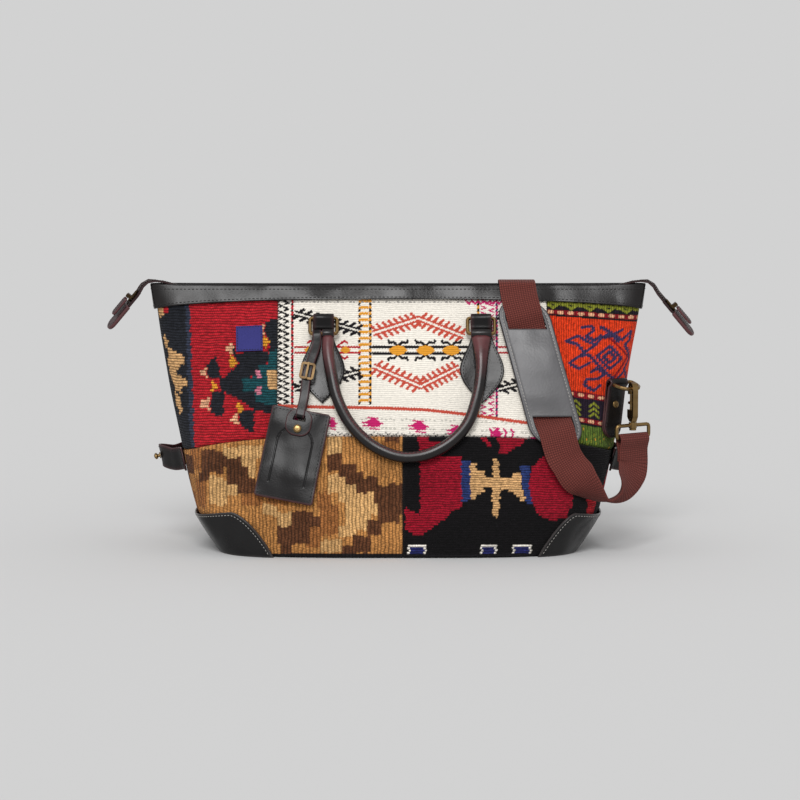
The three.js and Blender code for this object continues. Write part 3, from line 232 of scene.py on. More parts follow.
SKY = 0.66
world = bpy.data.worlds.new("studio")
scene.world = world
world.use_nodes = True
sky = world.node_tree
backdrop = sky.nodes["Background"]
backdrop.inputs["Color"].default_value = (*BACKDROP, 1)
glow = sky.nodes.new("ShaderNodeBackground")
glow.inputs["Color"].default_value = (SKY, SKY, SKY, 1)
ray = sky.nodes.new("ShaderNodeLightPath")
seen = sky.nodes.new("ShaderNodeMath")
seen.operation = "MAXIMUM"
seen_through = sky.nodes.new("ShaderNodeMath")
seen_through.operation = "MAXIMUM"
choose = sky.nodes.new("ShaderNodeMixShader")
for source, target in (
    (ray.outputs["Is Camera Ray"], seen.inputs[0]),
    (ray.outputs["Is Glossy Ray"], seen.inputs[1]),
    (seen.outputs[0], seen_through.inputs[0]),
    (ray.outputs["Is Transmission Ray"], seen_through.inputs[1]),
    (seen_through.outputs[0], choose.inputs[0]),
    (glow.outputs[0], choose.inputs[1]),
    (backdrop.outputs[0], choose.inputs[2]),
    (choose.outputs[0], sky.nodes["World Output"].inputs["Surface"]),
):
    sky.links.new(source, target)

sun = bpy.data.objects.new("soft_sun", bpy.data.lights.new("soft_sun", "SUN"))
scene.collection.objects.link(sun)
sun.rotation_euler = (math.radians(50), math.radians(-7), 0)
drop = (sun.rotation_euler.to_matrix() @ Vector((0, 0, 1))).z
sun.data.energy = (1 - SKY) * math.pi / drop
sun.data.angle = math.radians(24)

floor_mesh = bpy.data.meshes.new("floor")
floor_mesh.from_pydata([(-30, -30, 0), (30, -30, 0), (30, 30, 0), (-30, 30, 0)], [], [(0, 1, 2, 3)])
floor = bpy.data.objects.new("floor", floor_mesh)
scene.collection.objects.link(floor)
floor_finish = bpy.data.materials.new("pale_floor")
floor_finish.use_nodes = True
floor_shader = floor_finish.node_tree.nodes["Principled BSDF"]
floor_shader.inputs["Base Color"].default_value = (*BACKDROP, 1)
floor_shader.inputs["Roughness"].default_value = 1
floor_shader.inputs["Specular IOR Level"].default_value = 0
floor_mesh.materials.append(floor_finish)
print("camera at", [round(v, 3) for v in camera.location], "sun height", round(drop, 2))

# %% [markdown]
# ## Shared finishes as node groups
# Wool, leather, webbing and tape share a few effects: a woven rib, a grain, a slow drift of colour and a
# rim colour at the edges of leather. The rim colour is the painted edge and its wear, and on the corner
# patches a painted highlight; the finishes also use the rib's height to paint shade into the colour of wool
# and bands.
# Each effect is one node group with named inputs, placed in every finish that needs it with its own values.
# The shader itself stays in the material.

# %% A small kit for node groups


def new_group(name, inputs, outputs):
    group = bpy.data.node_groups.new(name, "ShaderNodeTree")
    for label, kind, value in inputs:
        socket = group.interface.new_socket(label, in_out="INPUT", socket_type=kind)
        if value is not None:
            socket.default_value = value
    for label, kind in outputs:
        group.interface.new_socket(label, in_out="OUTPUT", socket_type=kind)
    return group, group.nodes.new("NodeGroupInput"), group.nodes.new("NodeGroupOutput")


def fill(tree, socket, value):
    """Gives a socket a number or a colour, or links it to another node."""
    if isinstance(value, (int, float)):
        socket.default_value = value
    elif isinstance(value, (tuple, list, np.ndarray)):
        socket.default_value = (*value[:3], 1)
    else:
        tree.links.new(value, socket)


def math_node(tree, operation, first, second=None, clamp=False):
    node = tree.nodes.new("ShaderNodeMath")
    node.operation = operation
    node.use_clamp = clamp
    for socket, value in zip(node.inputs, (first, second)):
        if value is not None:
            fill(tree, socket, value)
    return node.outputs[0]


def weighted(tree, first, first_share, second, second_share):
    """The sum of two values, each times its share."""
    parts = [math_node(tree, "MULTIPLY", *pair) for pair in ((first, first_share), (second, second_share))]
    return math_node(tree, "ADD", *parts)


def spread(tree, value, low, high):
    """Maps a value from 0..1 to low..high."""
    return math_node(tree, "ADD", math_node(tree, "MULTIPLY", value, high - low), low)


def arches(tree, turns):
    """A row of round arches, one for each turn."""
    return math_node(tree, "ABSOLUTE", math_node(tree, "SINE", math_node(tree, "MULTIPLY", turns, math.pi)))


def mix_colour(tree, blend, share, first, second):
    node = tree.nodes.new("ShaderNodeMix")
    node.data_type = "RGBA"
    node.blend_type = blend
    for index, value in ((0, share), (6, first), (7, second)):
        fill(tree, node.inputs[index], value)
    return node.outputs[2]


def grey(tree, value):
    """A grey colour of one value, to multiply another colour with."""
    node = tree.nodes.new("ShaderNodeCombineColor")
    for channel in node.inputs[:3]:
        tree.links.new(value, channel)
    return node.outputs[0]


def noise(tree, where, scale, detail=2.0, roughness=0.5):
    node = tree.nodes.new("ShaderNodeTexNoise")
    tree.links.new(where, node.inputs["Vector"])
    node.inputs["Scale"].default_value = scale
    node.inputs["Detail"].default_value = detail
    node.inputs["Roughness"].default_value = roughness
    return node.outputs["Fac"]


FLOAT, COLOUR, VECTOR = "NodeSocketFloat", "NodeSocketColor", "NodeSocketVector"
print("node kit ready")

# %% [markdown]
# A kilim is weft-faced: fat rows of wool lie side by side and hide the warp. The rib runs across the rows
# and small knuckles break each row where it passes a warp thread. The cloth coordinates are millimetres,
# so a pitch is written as it would be measured on the bag.

# %% Woven rib group
woven_rib, rib_in, rib_out = new_group(
    "woven_rib",
    [
        ("Across", FLOAT, 0.0), ("Along", FLOAT, 0.0), ("Row pitch", FLOAT, 3.4),
        ("Knuckle pitch", FLOAT, 2.2),
    ],
    [("Height", FLOAT)],
)
row_turn = math_node(woven_rib, "DIVIDE", rib_in.outputs["Across"], rib_in.outputs["Row pitch"])
row_round = math_node(woven_rib, "POWER", arches(woven_rib, row_turn), 0.8)
shift = math_node(woven_rib, "MULTIPLY", math_node(woven_rib, "FLOOR", row_turn), 0.5)
along_turn = math_node(woven_rib, "DIVIDE", rib_in.outputs["Along"], rib_in.outputs["Knuckle pitch"])
knuckle = arches(woven_rib, math_node(woven_rib, "ADD", along_turn, shift))
knuckle_round = math_node(woven_rib, "POWER", knuckle, 0.6)
woven_rib.links.new(weighted(woven_rib, row_round, 0.7, knuckle_round, 0.3), rib_out.inputs["Height"])
print("group:", woven_rib.name)

# %% Drift, grain and wear groups
slow_drift, drift_in, drift_out = new_group(
    "slow_drift", [("Colour", COLOUR, (1, 1, 1, 1)), ("Where", VECTOR, None), ("Amount", FLOAT, 0.3)],
    [("Colour", COLOUR)],
)
broad = noise(slow_drift, drift_in.outputs["Where"], 0.018, 3)
fine = noise(slow_drift, drift_in.outputs["Where"], 0.5, 2)
both = weighted(slow_drift, broad, 0.45, fine, 0.55)
swing = math_node(
    slow_drift, "MULTIPLY", math_node(slow_drift, "SUBTRACT", both, 0.5), drift_in.outputs["Amount"],
)
tint = grey(slow_drift, math_node(slow_drift, "ADD", math_node(slow_drift, "MULTIPLY", swing, 2.4), 1.0))
drifted = mix_colour(slow_drift, "MULTIPLY", 1.0, drift_in.outputs["Colour"], tint)
slow_drift.links.new(drifted, drift_out.inputs["Colour"])

leather_grain, grain_in, grain_out = new_group(
    "leather_grain", [("Where", VECTOR, None), ("Pebble", FLOAT, 900.0)],
    [("Height", FLOAT), ("Polish", FLOAT)],
)
pebble = leather_grain.nodes.new("ShaderNodeTexVoronoi")
pebble.feature = "SMOOTH_F1"
leather_grain.links.new(grain_in.outputs["Where"], pebble.inputs["Vector"])
leather_grain.links.new(grain_in.outputs["Pebble"], pebble.inputs["Scale"])
crease = noise(leather_grain, grain_in.outputs["Where"], 60, 6, 0.62)
grain_height = weighted(leather_grain, pebble.outputs["Distance"], 0.35, crease, 1.1)
leather_grain.links.new(grain_height, grain_out.inputs["Height"])
leather_grain.links.new(noise(leather_grain, grain_in.outputs["Where"], 28, 3), grain_out.inputs["Polish"])

# A rim colour mixed in at the edges of leather, made patchy by noise: the painted edge and its wear, and on
# the corner patches a painted highlight.
edge_wear_and_highlight, rim_in, rim_out = new_group(
    "edge_wear_and_highlight",
    [
        ("Edge", FLOAT, 0.0), ("Where", VECTOR, None), ("Body", COLOUR, (0, 0, 0, 1)),
        ("Worn", COLOUR, (1, 1, 1, 1)),
    ],
    [("Colour", COLOUR)],
)
rim_noise = noise(edge_wear_and_highlight, rim_in.outputs["Where"], 140, 4)
rim_noise_share = math_node(edge_wear_and_highlight, "ADD", rim_noise, 0.45)
rim_share = math_node(edge_wear_and_highlight, "MULTIPLY", rim_in.outputs["Edge"], rim_noise_share, clamp=True)
rim_coloured = mix_colour(edge_wear_and_highlight, "MIX", rim_share, rim_in.outputs["Body"], rim_in.outputs["Worn"])
edge_wear_and_highlight.links.new(rim_coloured, rim_out.inputs["Colour"])
print("groups:", slow_drift.name, leather_grain.name, edge_wear_and_highlight.name)

# %% [markdown]
# ## The finishes
# Wool takes its colour from the points of the cloth, with painted shade between its rows. Leather is a near
# black with a soft sheen, a maroon painted edge and creases. The band leather is a lighter copy of it, a
# painted highlight, and the corner leather a darker copy, painted shade, with a light rim that is a painted
# highlight; the pad leather is grey, made lighter still as a painted sheen. Brass is dulled where it is
# rubbed least. Each finish gets its own values here.

# %% Material helpers


def new_finish(name, roughness, metallic=0.0):
    finish = bpy.data.materials.new(name)
    finish.use_nodes = True
    shader = finish.node_tree.nodes["Principled BSDF"]
    shader.inputs["Roughness"].default_value = roughness
    shader.inputs["Metallic"].default_value = metallic
    return finish, finish.node_tree, shader


def place(tree, group, **values):
    """Puts a shared group into a finish with its own values. A space in a label becomes an underscore."""
    node = tree.nodes.new("ShaderNodeGroup")
    node.node_tree = group
    for label, value in values.items():
        fill(tree, node.inputs[label.replace("_", " ")], value)
    return node


def object_place(tree):
    return tree.nodes.new("ShaderNodeTexCoord").outputs["Object"]


def cloth_place(tree):
    layer = tree.nodes.new("ShaderNodeUVMap")
    layer.uv_map = "cloth_mm"
    split = tree.nodes.new("ShaderNodeSeparateXYZ")
    tree.links.new(layer.outputs[0], split.inputs[0])
    return layer.outputs[0], split.outputs[0], split.outputs[1]


def attribute(tree, name):
    node = tree.nodes.new("ShaderNodeAttribute")
    node.attribute_name = name
    return node


def bump(tree, shader, height, strength, distance):
    node = tree.nodes.new("ShaderNodeBump")
    node.inputs["Strength"].default_value = strength
    node.inputs["Distance"].default_value = distance
    tree.links.new(height, node.inputs["Height"])
    tree.links.new(node.outputs[0], shader.inputs["Normal"])


print("material helpers ready")

# %% Wool finishes
ACROSS, UPRIGHT = True, False


def kilim_finish(name, rows_run_across, pitch, drift, valley, depth, streaks):
    """Wool in rows. Valley is the painted shade between rows, and streaks is how much the picks of wool
    differ.
    """
    finish, tree, shader = new_finish(name, 0.95)
    where, across, up = cloth_place(tree)
    waver = spread(tree, noise(tree, where, 0.07, 3), -0.7 * pitch, 0.7 * pitch)
    rows = math_node(tree, "ADD", up if rows_run_across else across, waver)
    run = across if rows_run_across else up
    rib = place(tree, woven_rib, Across=rows, Along=run, Row_pitch=pitch, Knuckle_pitch=pitch * 0.7)
    pick = tree.nodes.new("ShaderNodeCombineXYZ")
    tree.links.new(math_node(tree, "DIVIDE", run, pitch * 1.7), pick.inputs[0])
    tree.links.new(math_node(tree, "DIVIDE", rows, pitch), pick.inputs[1])
    streak = spread(tree, noise(tree, pick.outputs[0], 0.9, 2), 1 - streaks, 1 + streaks)
    drifted = place(
        tree, slow_drift, Colour=attribute(tree, "wool").outputs["Color"], Where=where, Amount=drift,
    )
    # The rib's height darkens the colour between the rows and lightens the row tops: painted shade and
    # painted light.
    shade = grey(
        tree, math_node(tree, "MULTIPLY", spread(tree, rib.outputs["Height"], valley, 1.25), streak),
    )
    tree.links.new(
        mix_colour(tree, "MULTIPLY", 1.0, drifted.outputs[0], shade), shader.inputs["Base Color"],
    )
    fuzz = noise(tree, where, 1.6, 3)
    height = math_node(tree, "ADD", rib.outputs["Height"], math_node(tree, "MULTIPLY", fuzz, 0.5))
    bump(tree, shader, height, 0.9, depth)
    shader.inputs["Sheen Weight"].default_value = 0.05
    shader.inputs["Sheen Roughness"].default_value = 0.6
    shader.inputs["Specular IOR Level"].default_value = 0.08
    return finish


RED_WOOL = kilim_finish("red_kilim", ACROSS, 2.7, 0.6, 0.0, 0.0012, 0.9)
CREAM_WOOL = kilim_finish("cream_kilim", ACROSS, 1.9, 0.14, 0.78, 0.0006, 0.2)
ORANGE_WOOL = kilim_finish("orange_kilim", UPRIGHT, 2.4, 0.6, 0.2, 0.0009, 0.9)
BLACK_WOOL = kilim_finish("black_kilim", ACROSS, 2.4, 0.9, 0.1, 0.001, 0.9)
BROWN_WOOL = kilim_finish("brown_kilim", UPRIGHT, 3.6, 1.2, 0.2, 0.0014, 0.8)
wools = (RED_WOOL, CREAM_WOOL, ORANGE_WOOL, BLACK_WOOL, BROWN_WOOL)
print("wool finishes:", [wool.name for wool in wools])

# %% Leather finishes


def leather_finish(name, colour, edge_colour, roughness, pebble, depth, shine, dented):
    finish, tree, shader = new_finish(name, roughness)
    where = object_place(tree)
    grain = place(tree, leather_grain, Where=where, Pebble=pebble)
    edge = attribute(tree, "edge").outputs["Fac"]
    # The rim colour: painted edge and wear, and on the corner leather a painted highlight.
    rim_coloured = place(tree, edge_wear_and_highlight, Edge=edge, Where=where, Body=linear(colour), Worn=linear(edge_colour))
    shade = grey(tree, spread(tree, grain.outputs["Polish"], 0.6, 1.4))
    tree.links.new(
        mix_colour(tree, "MULTIPLY", 1.0, rim_coloured.outputs["Colour"], shade), shader.inputs["Base Color"],
    )
    polish = spread(tree, grain.outputs["Polish"], roughness - 0.16, roughness + 0.16)
    tree.links.new(polish, shader.inputs["Roughness"])
    folds = math_node(tree, "MULTIPLY", noise(tree, where, 46, 0), 0.22)
    dents = math_node(tree, "MULTIPLY", math_node(tree, "ADD", noise(tree, where, 17, 0), folds), dented)
    fine_grain = math_node(tree, "MULTIPLY", grain.outputs["Height"], 0.4)
    bump(tree, shader, math_node(tree, "ADD", fine_grain, dents), 0.5, depth)
    shader.inputs["Specular IOR Level"].default_value = shine
    return finish


BLACK_LEATHER = leather_finish("black_leather", (15, 13, 14), (74, 46, 48), 0.34, 800, 0.0008, 0.25, 26)
# Corner leather: a darker copy of the black leather, painted shade, with a light grey rim colour that is a
# painted highlight.
CORNER_SHADE_AND_HIGHLIGHT_LEATHER = leather_finish("corner_shade_and_highlight_leather", (13, 12, 13), (64, 60, 60), 0.32, 800, 0.0009, 0.36, 34)
# Band leather: a lighter copy of the black leather, a painted highlight, used on the band and the leaf
# tabs.
LIT_BLACK_LEATHER = leather_finish("band_leather", (20, 17, 17), (16, 12, 13), 0.3, 700, 0.0008, 0.3, 18)
HANDLE_LEATHER = leather_finish("handle_leather", (17, 12, 12), (96, 50, 52), 0.32, 700, 0.0006, 0.4, 8)
MAROON_LEATHER = leather_finish("maroon_leather", (50, 24, 28), (84, 46, 48), 0.42, 700, 0.0006, 0.4, 6)
# Pad leather: grey, made lighter still as a painted sheen.
PAD_LEATHER_AND_SHEEN = leather_finish("pad_leather", (84, 83, 85), (44, 42, 44), 0.4, 520, 0.0011, 0.5, 10)
leathers = (BLACK_LEATHER, CORNER_SHADE_AND_HIGHLIGHT_LEATHER, LIT_BLACK_LEATHER, HANDLE_LEATHER, MAROON_LEATHER, PAD_LEATHER_AND_SHEEN)
print("leather finishes:", [leather.name for leather in leathers])

# %% Brass, thread, webbing, tape and cotton


def brass_finish(name, bright, dark):
    finish, tree, shader = new_finish(name, 0.3, 1.0)
    where = object_place(tree)
    dull = noise(tree, where, 90, 4)
    tree.links.new(mix_colour(tree, "MIX", dull, linear(bright), linear(dark)), shader.inputs["Base Color"])
    tree.links.new(spread(tree, dull, 0.2, 0.46), shader.inputs["Roughness"])
    bump(tree, shader, noise(tree, where, 700, 3), 0.12, 0.0003)
    return finish


BRASS = brass_finish("antique_brass", (158, 130, 86), (84, 66, 42))
DULL_BRASS = brass_finish("dull_brass", (86, 69, 46), (48, 38, 28))
TEETH_BRASS = brass_finish("dark_brass", (74, 56, 44), (40, 28, 24))


def thread_finish(name, roughness, dark, light):
    finish, tree, shader = new_finish(name, roughness)
    twist = noise(tree, object_place(tree), 1500, 2)
    tree.links.new(mix_colour(tree, "MIX", twist, linear(dark), linear(light)), shader.inputs["Base Color"])
    return finish


THREAD = thread_finish("black_thread", 0.7, (12, 11, 12), (34, 30, 30))
PALE_THREAD = thread_finish("grey_thread", 0.75, (132, 129, 126), (186, 182, 176))


def band_finish(name, colour, across_pitch, along_pitch, depth, valley=0.5):
    """Flat woven bands, webbing and tape: a plain weave of weft over warp, with painted shade in its
    hollows.
    """
    finish, tree, shader = new_finish(name, 0.82)
    where, across, along = cloth_place(tree)
    weft = place(
        tree, woven_rib, Across=along, Along=across, Row_pitch=along_pitch, Knuckle_pitch=across_pitch,
    )
    warp = place(
        tree, woven_rib, Across=across, Along=along, Row_pitch=across_pitch, Knuckle_pitch=along_pitch,
    )
    checker = math_node(tree, "MULTIPLY", weft.outputs["Height"], warp.outputs["Height"])
    drifted = place(tree, slow_drift, Colour=linear(colour), Where=where, Amount=0.3)
    # The weave's height darkens the colour in its hollows and lightens the crossings: painted shade and
    # painted light.
    shade = grey(tree, spread(tree, checker, valley, 1.5))
    tree.links.new(
        mix_colour(tree, "MULTIPLY", 1.0, drifted.outputs[0], shade), shader.inputs["Base Color"],
    )
    bump(tree, shader, checker, 0.8, depth)
    shader.inputs["Sheen Weight"].default_value = 0.04
    shader.inputs["Specular IOR Level"].default_value = 0.15
    return finish


WEBBING = band_finish("shoulder_webbing", (104, 52, 46), 2.4, 2.2, 0.0008, 0.3)
ZIP_CLOTH = band_finish("zip_cloth", (48, 26, 28), 1.1, 0.9, 0.0003)
COTTON = band_finish("cotton_lining", (138, 122, 102), 0.9, 0.9, 0.0002)
NAVY_LABEL = band_finish("navy_label", (58, 58, 122), 0.8, 0.8, 0.0003)
BOARD = band_finish("stiff_board", (119, 112, 104), 2.5, 3.5, 0.0001)
others = (
    BRASS, DULL_BRASS, TEETH_BRASS, THREAD, PALE_THREAD, WEBBING, ZIP_CLOTH, COTTON, NAVY_LABEL, BOARD,
)
print("other finishes:", [other.name for other in others])

# %% [markdown]
# ## The pattern sheet
# A weaver works from a drawn sheet. Here the sheet is the bag as seen from the front, in steps of about
# one millimetre, and each motif is a small polygon, box or line on it. Every point of a patch looks up
# its place on the sheet. Round the ends of the bag the sheet carries on along the cloth, so motifs are
# not stretched.

# %% Places on the pattern sheet
SHEET_MIDDLE = (398, 400)
EDGE_ANGLE = 0.526


def sheet_place(angle, z):
    """Sheet coordinates (across, down) of points on the front of the skin."""
    held = np.clip(angle, EDGE_ANGLE, math.pi - EDGE_ANGLE)
    seen_at = skin(held, z)
    past = np.linalg.norm(skin(angle, z)[..., :2] - seen_at[..., :2], axis=-1)
    x = seen_at[..., 0] + past * np.where(angle < math.pi / 2, 1.0, -1.0)
    lift = seen_at[..., 2] - AIM_HEIGHT
    depth = VIEW_DISTANCE + seen_at[..., 1] * math.cos(tilt) - lift * math.sin(tilt)
    down = lift * math.cos(tilt) + seen_at[..., 1] * math.sin(tilt)
    return SHEET_MIDDLE[0] + FOCAL_LENGTH * x / depth, SHEET_MIDDLE[1] - FOCAL_LENGTH * down / depth


def scatter(number):
    """An even scatter between -1 and 1 from whole numbers."""
    return 2 * np.modf(np.abs(np.sin(number * 12.9898) * 43758.5453))[0] - 1


def ragged_rows(pitch, reach):
    """Each level row of a weave ends a little early or late."""
    return lambda across, down: (across + reach * scatter(np.floor(down / pitch)), down)


def ragged_ribs(pitch, reach):
    """Each upright rib of a weave ends a little high or low."""
    return lambda across, down: (across, down + reach * scatter(np.floor(across / pitch)))


def hand_sewn(across, down):
    """Embroidered lines waver a little."""
    sideways = 0.3 * np.sin(down * 1.9 + across * 0.37)
    return across + sideways, down + 0.3 * np.sin(across * 2.3 + down * 0.41)


def inside_polygon(x, y, corners):
    inside = np.zeros(x.shape, bool)
    corners = np.asarray(corners, float)
    for (x0, y0), (x1, y1) in zip(corners, np.roll(corners, -1, axis=0)):
        crosses = (y0 > y) != (y1 > y)
        inside ^= crosses & (x < (x1 - x0) * (y - y0) / ((y1 - y0) or 1e-9) + x0)
    return inside


def near_line(x, y, corners, width):
    near = np.zeros(x.shape, bool)
    for (x0, y0), (x1, y1) in zip(corners, corners[1:]):
        length = math.hypot(x1 - x0, y1 - y0) or 1e-9
        along = np.clip(((x - x0) * (x1 - x0) + (y - y0) * (y1 - y0)) / length**2, 0, 1)
        near |= np.hypot(x - x0 - along * (x1 - x0), y - y0 - along * (y1 - y0)) < width / 2
    return near


def box(x0, y0, x1, y1):
    return [(x0, y0), (x1, y0), (x1, y1), (x0, y1)]


def placed(motif, x, y, wide=1, high=1):
    """A motif's points moved to a place, and stretched or mirrored."""
    return [(x + wide * dx, y + high * dy) for dx, dy in motif]


def diamond(x, y, half_width, half_height):
    return [(x - half_width, y), (x, y - half_height), (x + half_width, y), (x, y + half_height)]


WOOL = {
    "red": (170, 30, 40),
    "deep_red": (126, 20, 30),
    "charcoal": (32, 34, 40),
    "black": (24, 22, 25),
    "night": (34, 24, 38),
    "jet": (15, 13, 15),
    "rust": (188, 74, 58),
    "ash": (186, 182, 172),
    "sand": (200, 156, 102),
    "tan": (200, 156, 106),
    "salmon": (214, 160, 124),
    "gold": (214, 146, 46),
    "teal": (26, 72, 78),
    "slate": (50, 56, 72),
    "navy": (34, 38, 92),
    "cream": (230, 224, 213),
    "orange": (206, 56, 22),
    "purple": (56, 46, 80),
    "olive": (126, 130, 42),
    "green": (84, 104, 40),
    "cerise": (188, 34, 100),
    "pink": (206, 120, 140),
    "grey": (142, 138, 134),
    "blue": (38, 52, 100),
    "honey": (176, 122, 68),
    "brown": (144, 92, 50),
    "umber": (88, 54, 34),
    "crimson": (142, 16, 36),
}


def weave(across, down, ground, shapes):
    """Colours of the points of a cloth: a ground with shapes laid on it in order."""
    colours = np.empty(across.shape + (3,))
    colours[:] = linear(WOOL[ground])
    for wool, corners, *line_width in shapes:
        xs, ys = zip(*corners)
        grow = line_width[0] if line_width else 0
        near = (across > min(xs) - grow) & (across < max(xs) + grow)
        near &= (down > min(ys) - grow) & (down < max(ys) + grow)
        if not near.any():
            continue
        if line_width:
            hit = near_line(across[near], down[near], corners, grow)
        else:
            hit = inside_polygon(across[near], down[near], corners)
        spot = np.zeros(across.shape, bool)
        spot[near] = hit
        colours[spot] = linear(WOOL[wool])
    return colours


print("wools:", len(WOOL))

# %% [markdown]
# ### Red patch
# Hooked comb motifs in black on red, with small tan, gold and salmon tips, and a black border along the
# end of the bag with a slate stripe. The wool lies in fat level rows, so edges step from row to row.

# %% Shapes of the red patch
red_shapes = [
    ("charcoal", [(-60, 250), (187.5, 250), (188, 303), (191.5, 445), (191.5, 480), (-60, 480)]),
    (
        "slate",
        [
            (185.5, 250), (189.7, 250), (189.7, 303), (194.2, 445), (194.2, 480), (190, 480), (189.2, 445),
            (185.5, 303),
        ],
    ),
    ("tan", [(154.5, 305), (162.4, 304.5), (163, 315), (158.2, 316), (157.6, 320), (155.8, 318.5)]),
    ("red", box(163, 306, 168, 313.6)), ("tan", [(159.4, 334), (166.7, 341.5), (163, 349), (160, 347.6)]),
    (
        "tan",
        [
            (166, 347), (173, 351), (183, 356), (185.5, 362), (177, 368), (175, 373), (186, 380),
            (186.5, 385.5), (180, 388), (181.5, 394), (174.5, 392), (167.5, 380), (163, 364),
        ],
    ),
    ("tan", [(170, 391), (178, 398), (180.5, 410), (176, 417), (171, 405)]),
    (
        "charcoal",
        [
            (265.5, 323.3), (271.5, 319), (290, 316), (290, 350), (268.5, 350), (270.3, 340.3),
            (264.2, 335.5),
        ],
    ),
    ("salmon", box(261.2, 324.5, 264.2, 335)),
    ("gold", [(263, 336), (269.7, 339.7), (269.7, 342.7), (264.8, 347.6), (262.4, 345)]),
    ("charcoal", [(206.7, 365.8), (215.8, 355.5), (218.8, 365.8), (221, 378), (207.9, 378)]),
    (
        "charcoal",
        [
            (220, 377.9), (224.8, 376.7), (239.4, 363.3), (232.1, 353.6), (232.7, 342.7), (236.4, 353),
            (268.5, 350), (269, 362), (258.8, 365.8), (256.4, 375.5), (241.8, 377.9), (243, 391.2),
            (254, 392.4), (255, 401), (278, 407), (271.5, 414.2), (252.7, 409.4), (244.2, 402),
            (223.6, 391.8), (218.8, 386.4),
        ],
    ),
    ("charcoal", [(211, 392.4), (223.6, 390), (223.6, 413), (220.6, 417.3), (209.7, 411.8)]),
    ("charcoal", [(239.4, 411.8), (244, 410.6), (254, 410.6), (254, 431), (249, 431), (239.4, 424)]),
    (
        "teal",
        [
            (241.8, 379), (256.4, 375.5), (258.8, 365.8), (268.5, 363.3), (269, 350), (290, 348.8),
            (290, 410), (275.5, 407), (255, 401), (254, 392.4), (243, 391.2),
        ],
    ),
    ("pink", box(256.4, 369.4, 261.2, 377.9)), ("pink", box(255.8, 385.8, 261.2, 393)),
    ("tan", box(267.3, 370.6, 284, 389.4)),
    ("salmon", [(223.6, 347.6), (232.7, 342.7), (233.3, 353.6), (229.7, 352.4)]),
    ("salmon", [(199.4, 372.4), (206, 365.8), (206.7, 377.9), (203, 375.5)]),
    ("salmon", [(200.6, 401), (209, 396.7), (209, 410), (200.6, 407)]),
    ("salmon", [(230.3, 419.7), (238, 411.8), (238, 425), (233.3, 424)]),
    ("gold", [(229.7, 354.8), (238.8, 362), (233.3, 368.2), (230.3, 365.8)]),
    ("gold", [(211, 380.3), (217.6, 386.4), (212.7, 392.4), (211, 391)]),
    ("gold", [(237, 402), (244.8, 407), (240.6, 411.8), (237, 413)]),
]
print("red patch:", len(red_shapes), "shapes")

# %% [markdown]
# ### Cream patch
# A pale field worked finely: a ladder of gold bars, sprigs in black, feather chevrons in red, hooked
# ovals, and a row of cerise tufts along the foot. Repeats are drawn with loops, as they would be counted
# at the loom.

# %% Shapes of the cream patch
cream_shapes = []
QUARTERS = [(-1, -1), (-1, 1), (1, -1), (1, 1)]


def feather(shapes, wool, start, end, count, leaf, stem=1.9):
    """Two thin lines with leaves on both sides, leaning one way."""
    (x0, y0), (x1, y1), (leaf_x, leaf_y) = start, end, leaf
    length = math.hypot(x1 - x0, y1 - y0)
    off_x, off_y = -(y1 - y0) / length * stem, (x1 - x0) / length * stem
    for way in (-1, 1):
        shapes.append(
            (wool, [(x0 + way * off_x, y0 + way * off_y), (x1 + way * off_x, y1 + way * off_y)], 2.1)
        )
    turn = 1 if leaf_x * off_x + leaf_y * off_y > 0 else -1
    for step in range(count):
        share = (step + 0.5) / count
        x, y = x0 + (x1 - x0) * share, y0 + (y1 - y0) * share
        for way in (-1, 1):
            root = (x + way * turn * off_x, y + way * turn * off_y)
            tip = (x + way * leaf_x, y + way * leaf_y)
            shapes.append((wool, [root, tip], 2.9))


LADDER_PITCH = 6.2
EDGE_LADDER = [("red", 291, 0, 293.6, 3.8), ("black", 291, 3.8, 293.4, 6.2)]
GOLD_LADDER = [
    ("gold", 360.4, 0.4, 368.8, 3.3), ("gold", 358.6, 1, 360.6, 3.4), ("black", 358.2, 3.4, 360.6, 6.2),
    ("gold", 369, 0, 371.6, 3), ("black", 369, 3, 371.6, 6.2),
]
CERISE_LADDER = [
    ("gold", 477, 0, 479.4, 3.2), ("black", 477, 3.2, 479.4, 6.2),
    ("cerise", 495.6, 0, 498, 3.4), ("purple", 495.6, 3.4, 498, 6.2),
]
TICKS = [((481, 0.5), (486, 2.2), (481, 3.9)), ((494, 3.2), (488.6, 5), (494, 6.8))]
for step in range(22):
    y = 299 + step * LADDER_PITCH
    for x, shift in ((279.6, 0.0), (286.2, 3.1)):
        cream_shapes.append(("black", placed([(-2.4, -1.6), (2.2, 0.6)], x, y + shift), 2.2))
        cream_shapes.append(("black", placed([(-2.2, 2.2), (1.2, 1.2)], x, y + shift), 1.6))
    for foot, ladder in ((440, EDGE_LADDER), (404, GOLD_LADDER), (414, CERISE_LADDER)):
        if y < foot:
            cream_shapes += [(wool, box(x0, y + y0, x1, y + y1)) for wool, x0, y0, x1, y1 in ladder]
    if y < 414:
        cream_shapes += [("cerise", placed(tick, 0, y), 1.4) for tick in TICKS]
RED_HOOK = [(0, 0), (8, 6), (11, 4)]
RED_ROW_MIDDLE = 349.6
for left, right in ((295, 360), (499, 566)):
    feather(cream_shapes, "black", (left, 313), (right, 331), 9, (5.4, -4.6))
    feather(cream_shapes, "black", (left, 389), (right, 371), 9, (5.4, 4.6))
    middle = (left + right) / 2
    for y in (346.8, 352.4):
        cream_shapes.append(("red", [(left, y), (middle - 8, y)], 2.0))
        cream_shapes.append(("red", [(middle + 8, y), (right, y)], 2.0))
    for way, rise in QUARTERS:
        hook = placed(RED_HOOK, middle + way * 9, RED_ROW_MIDDLE + rise * 3, way, rise)
        cream_shapes.append(("red", hook, 2.0))
    for way in (1, -1):
        cream_shapes.append(("gold", diamond(middle + way * 18, RED_ROW_MIDDLE, 6, 4)))
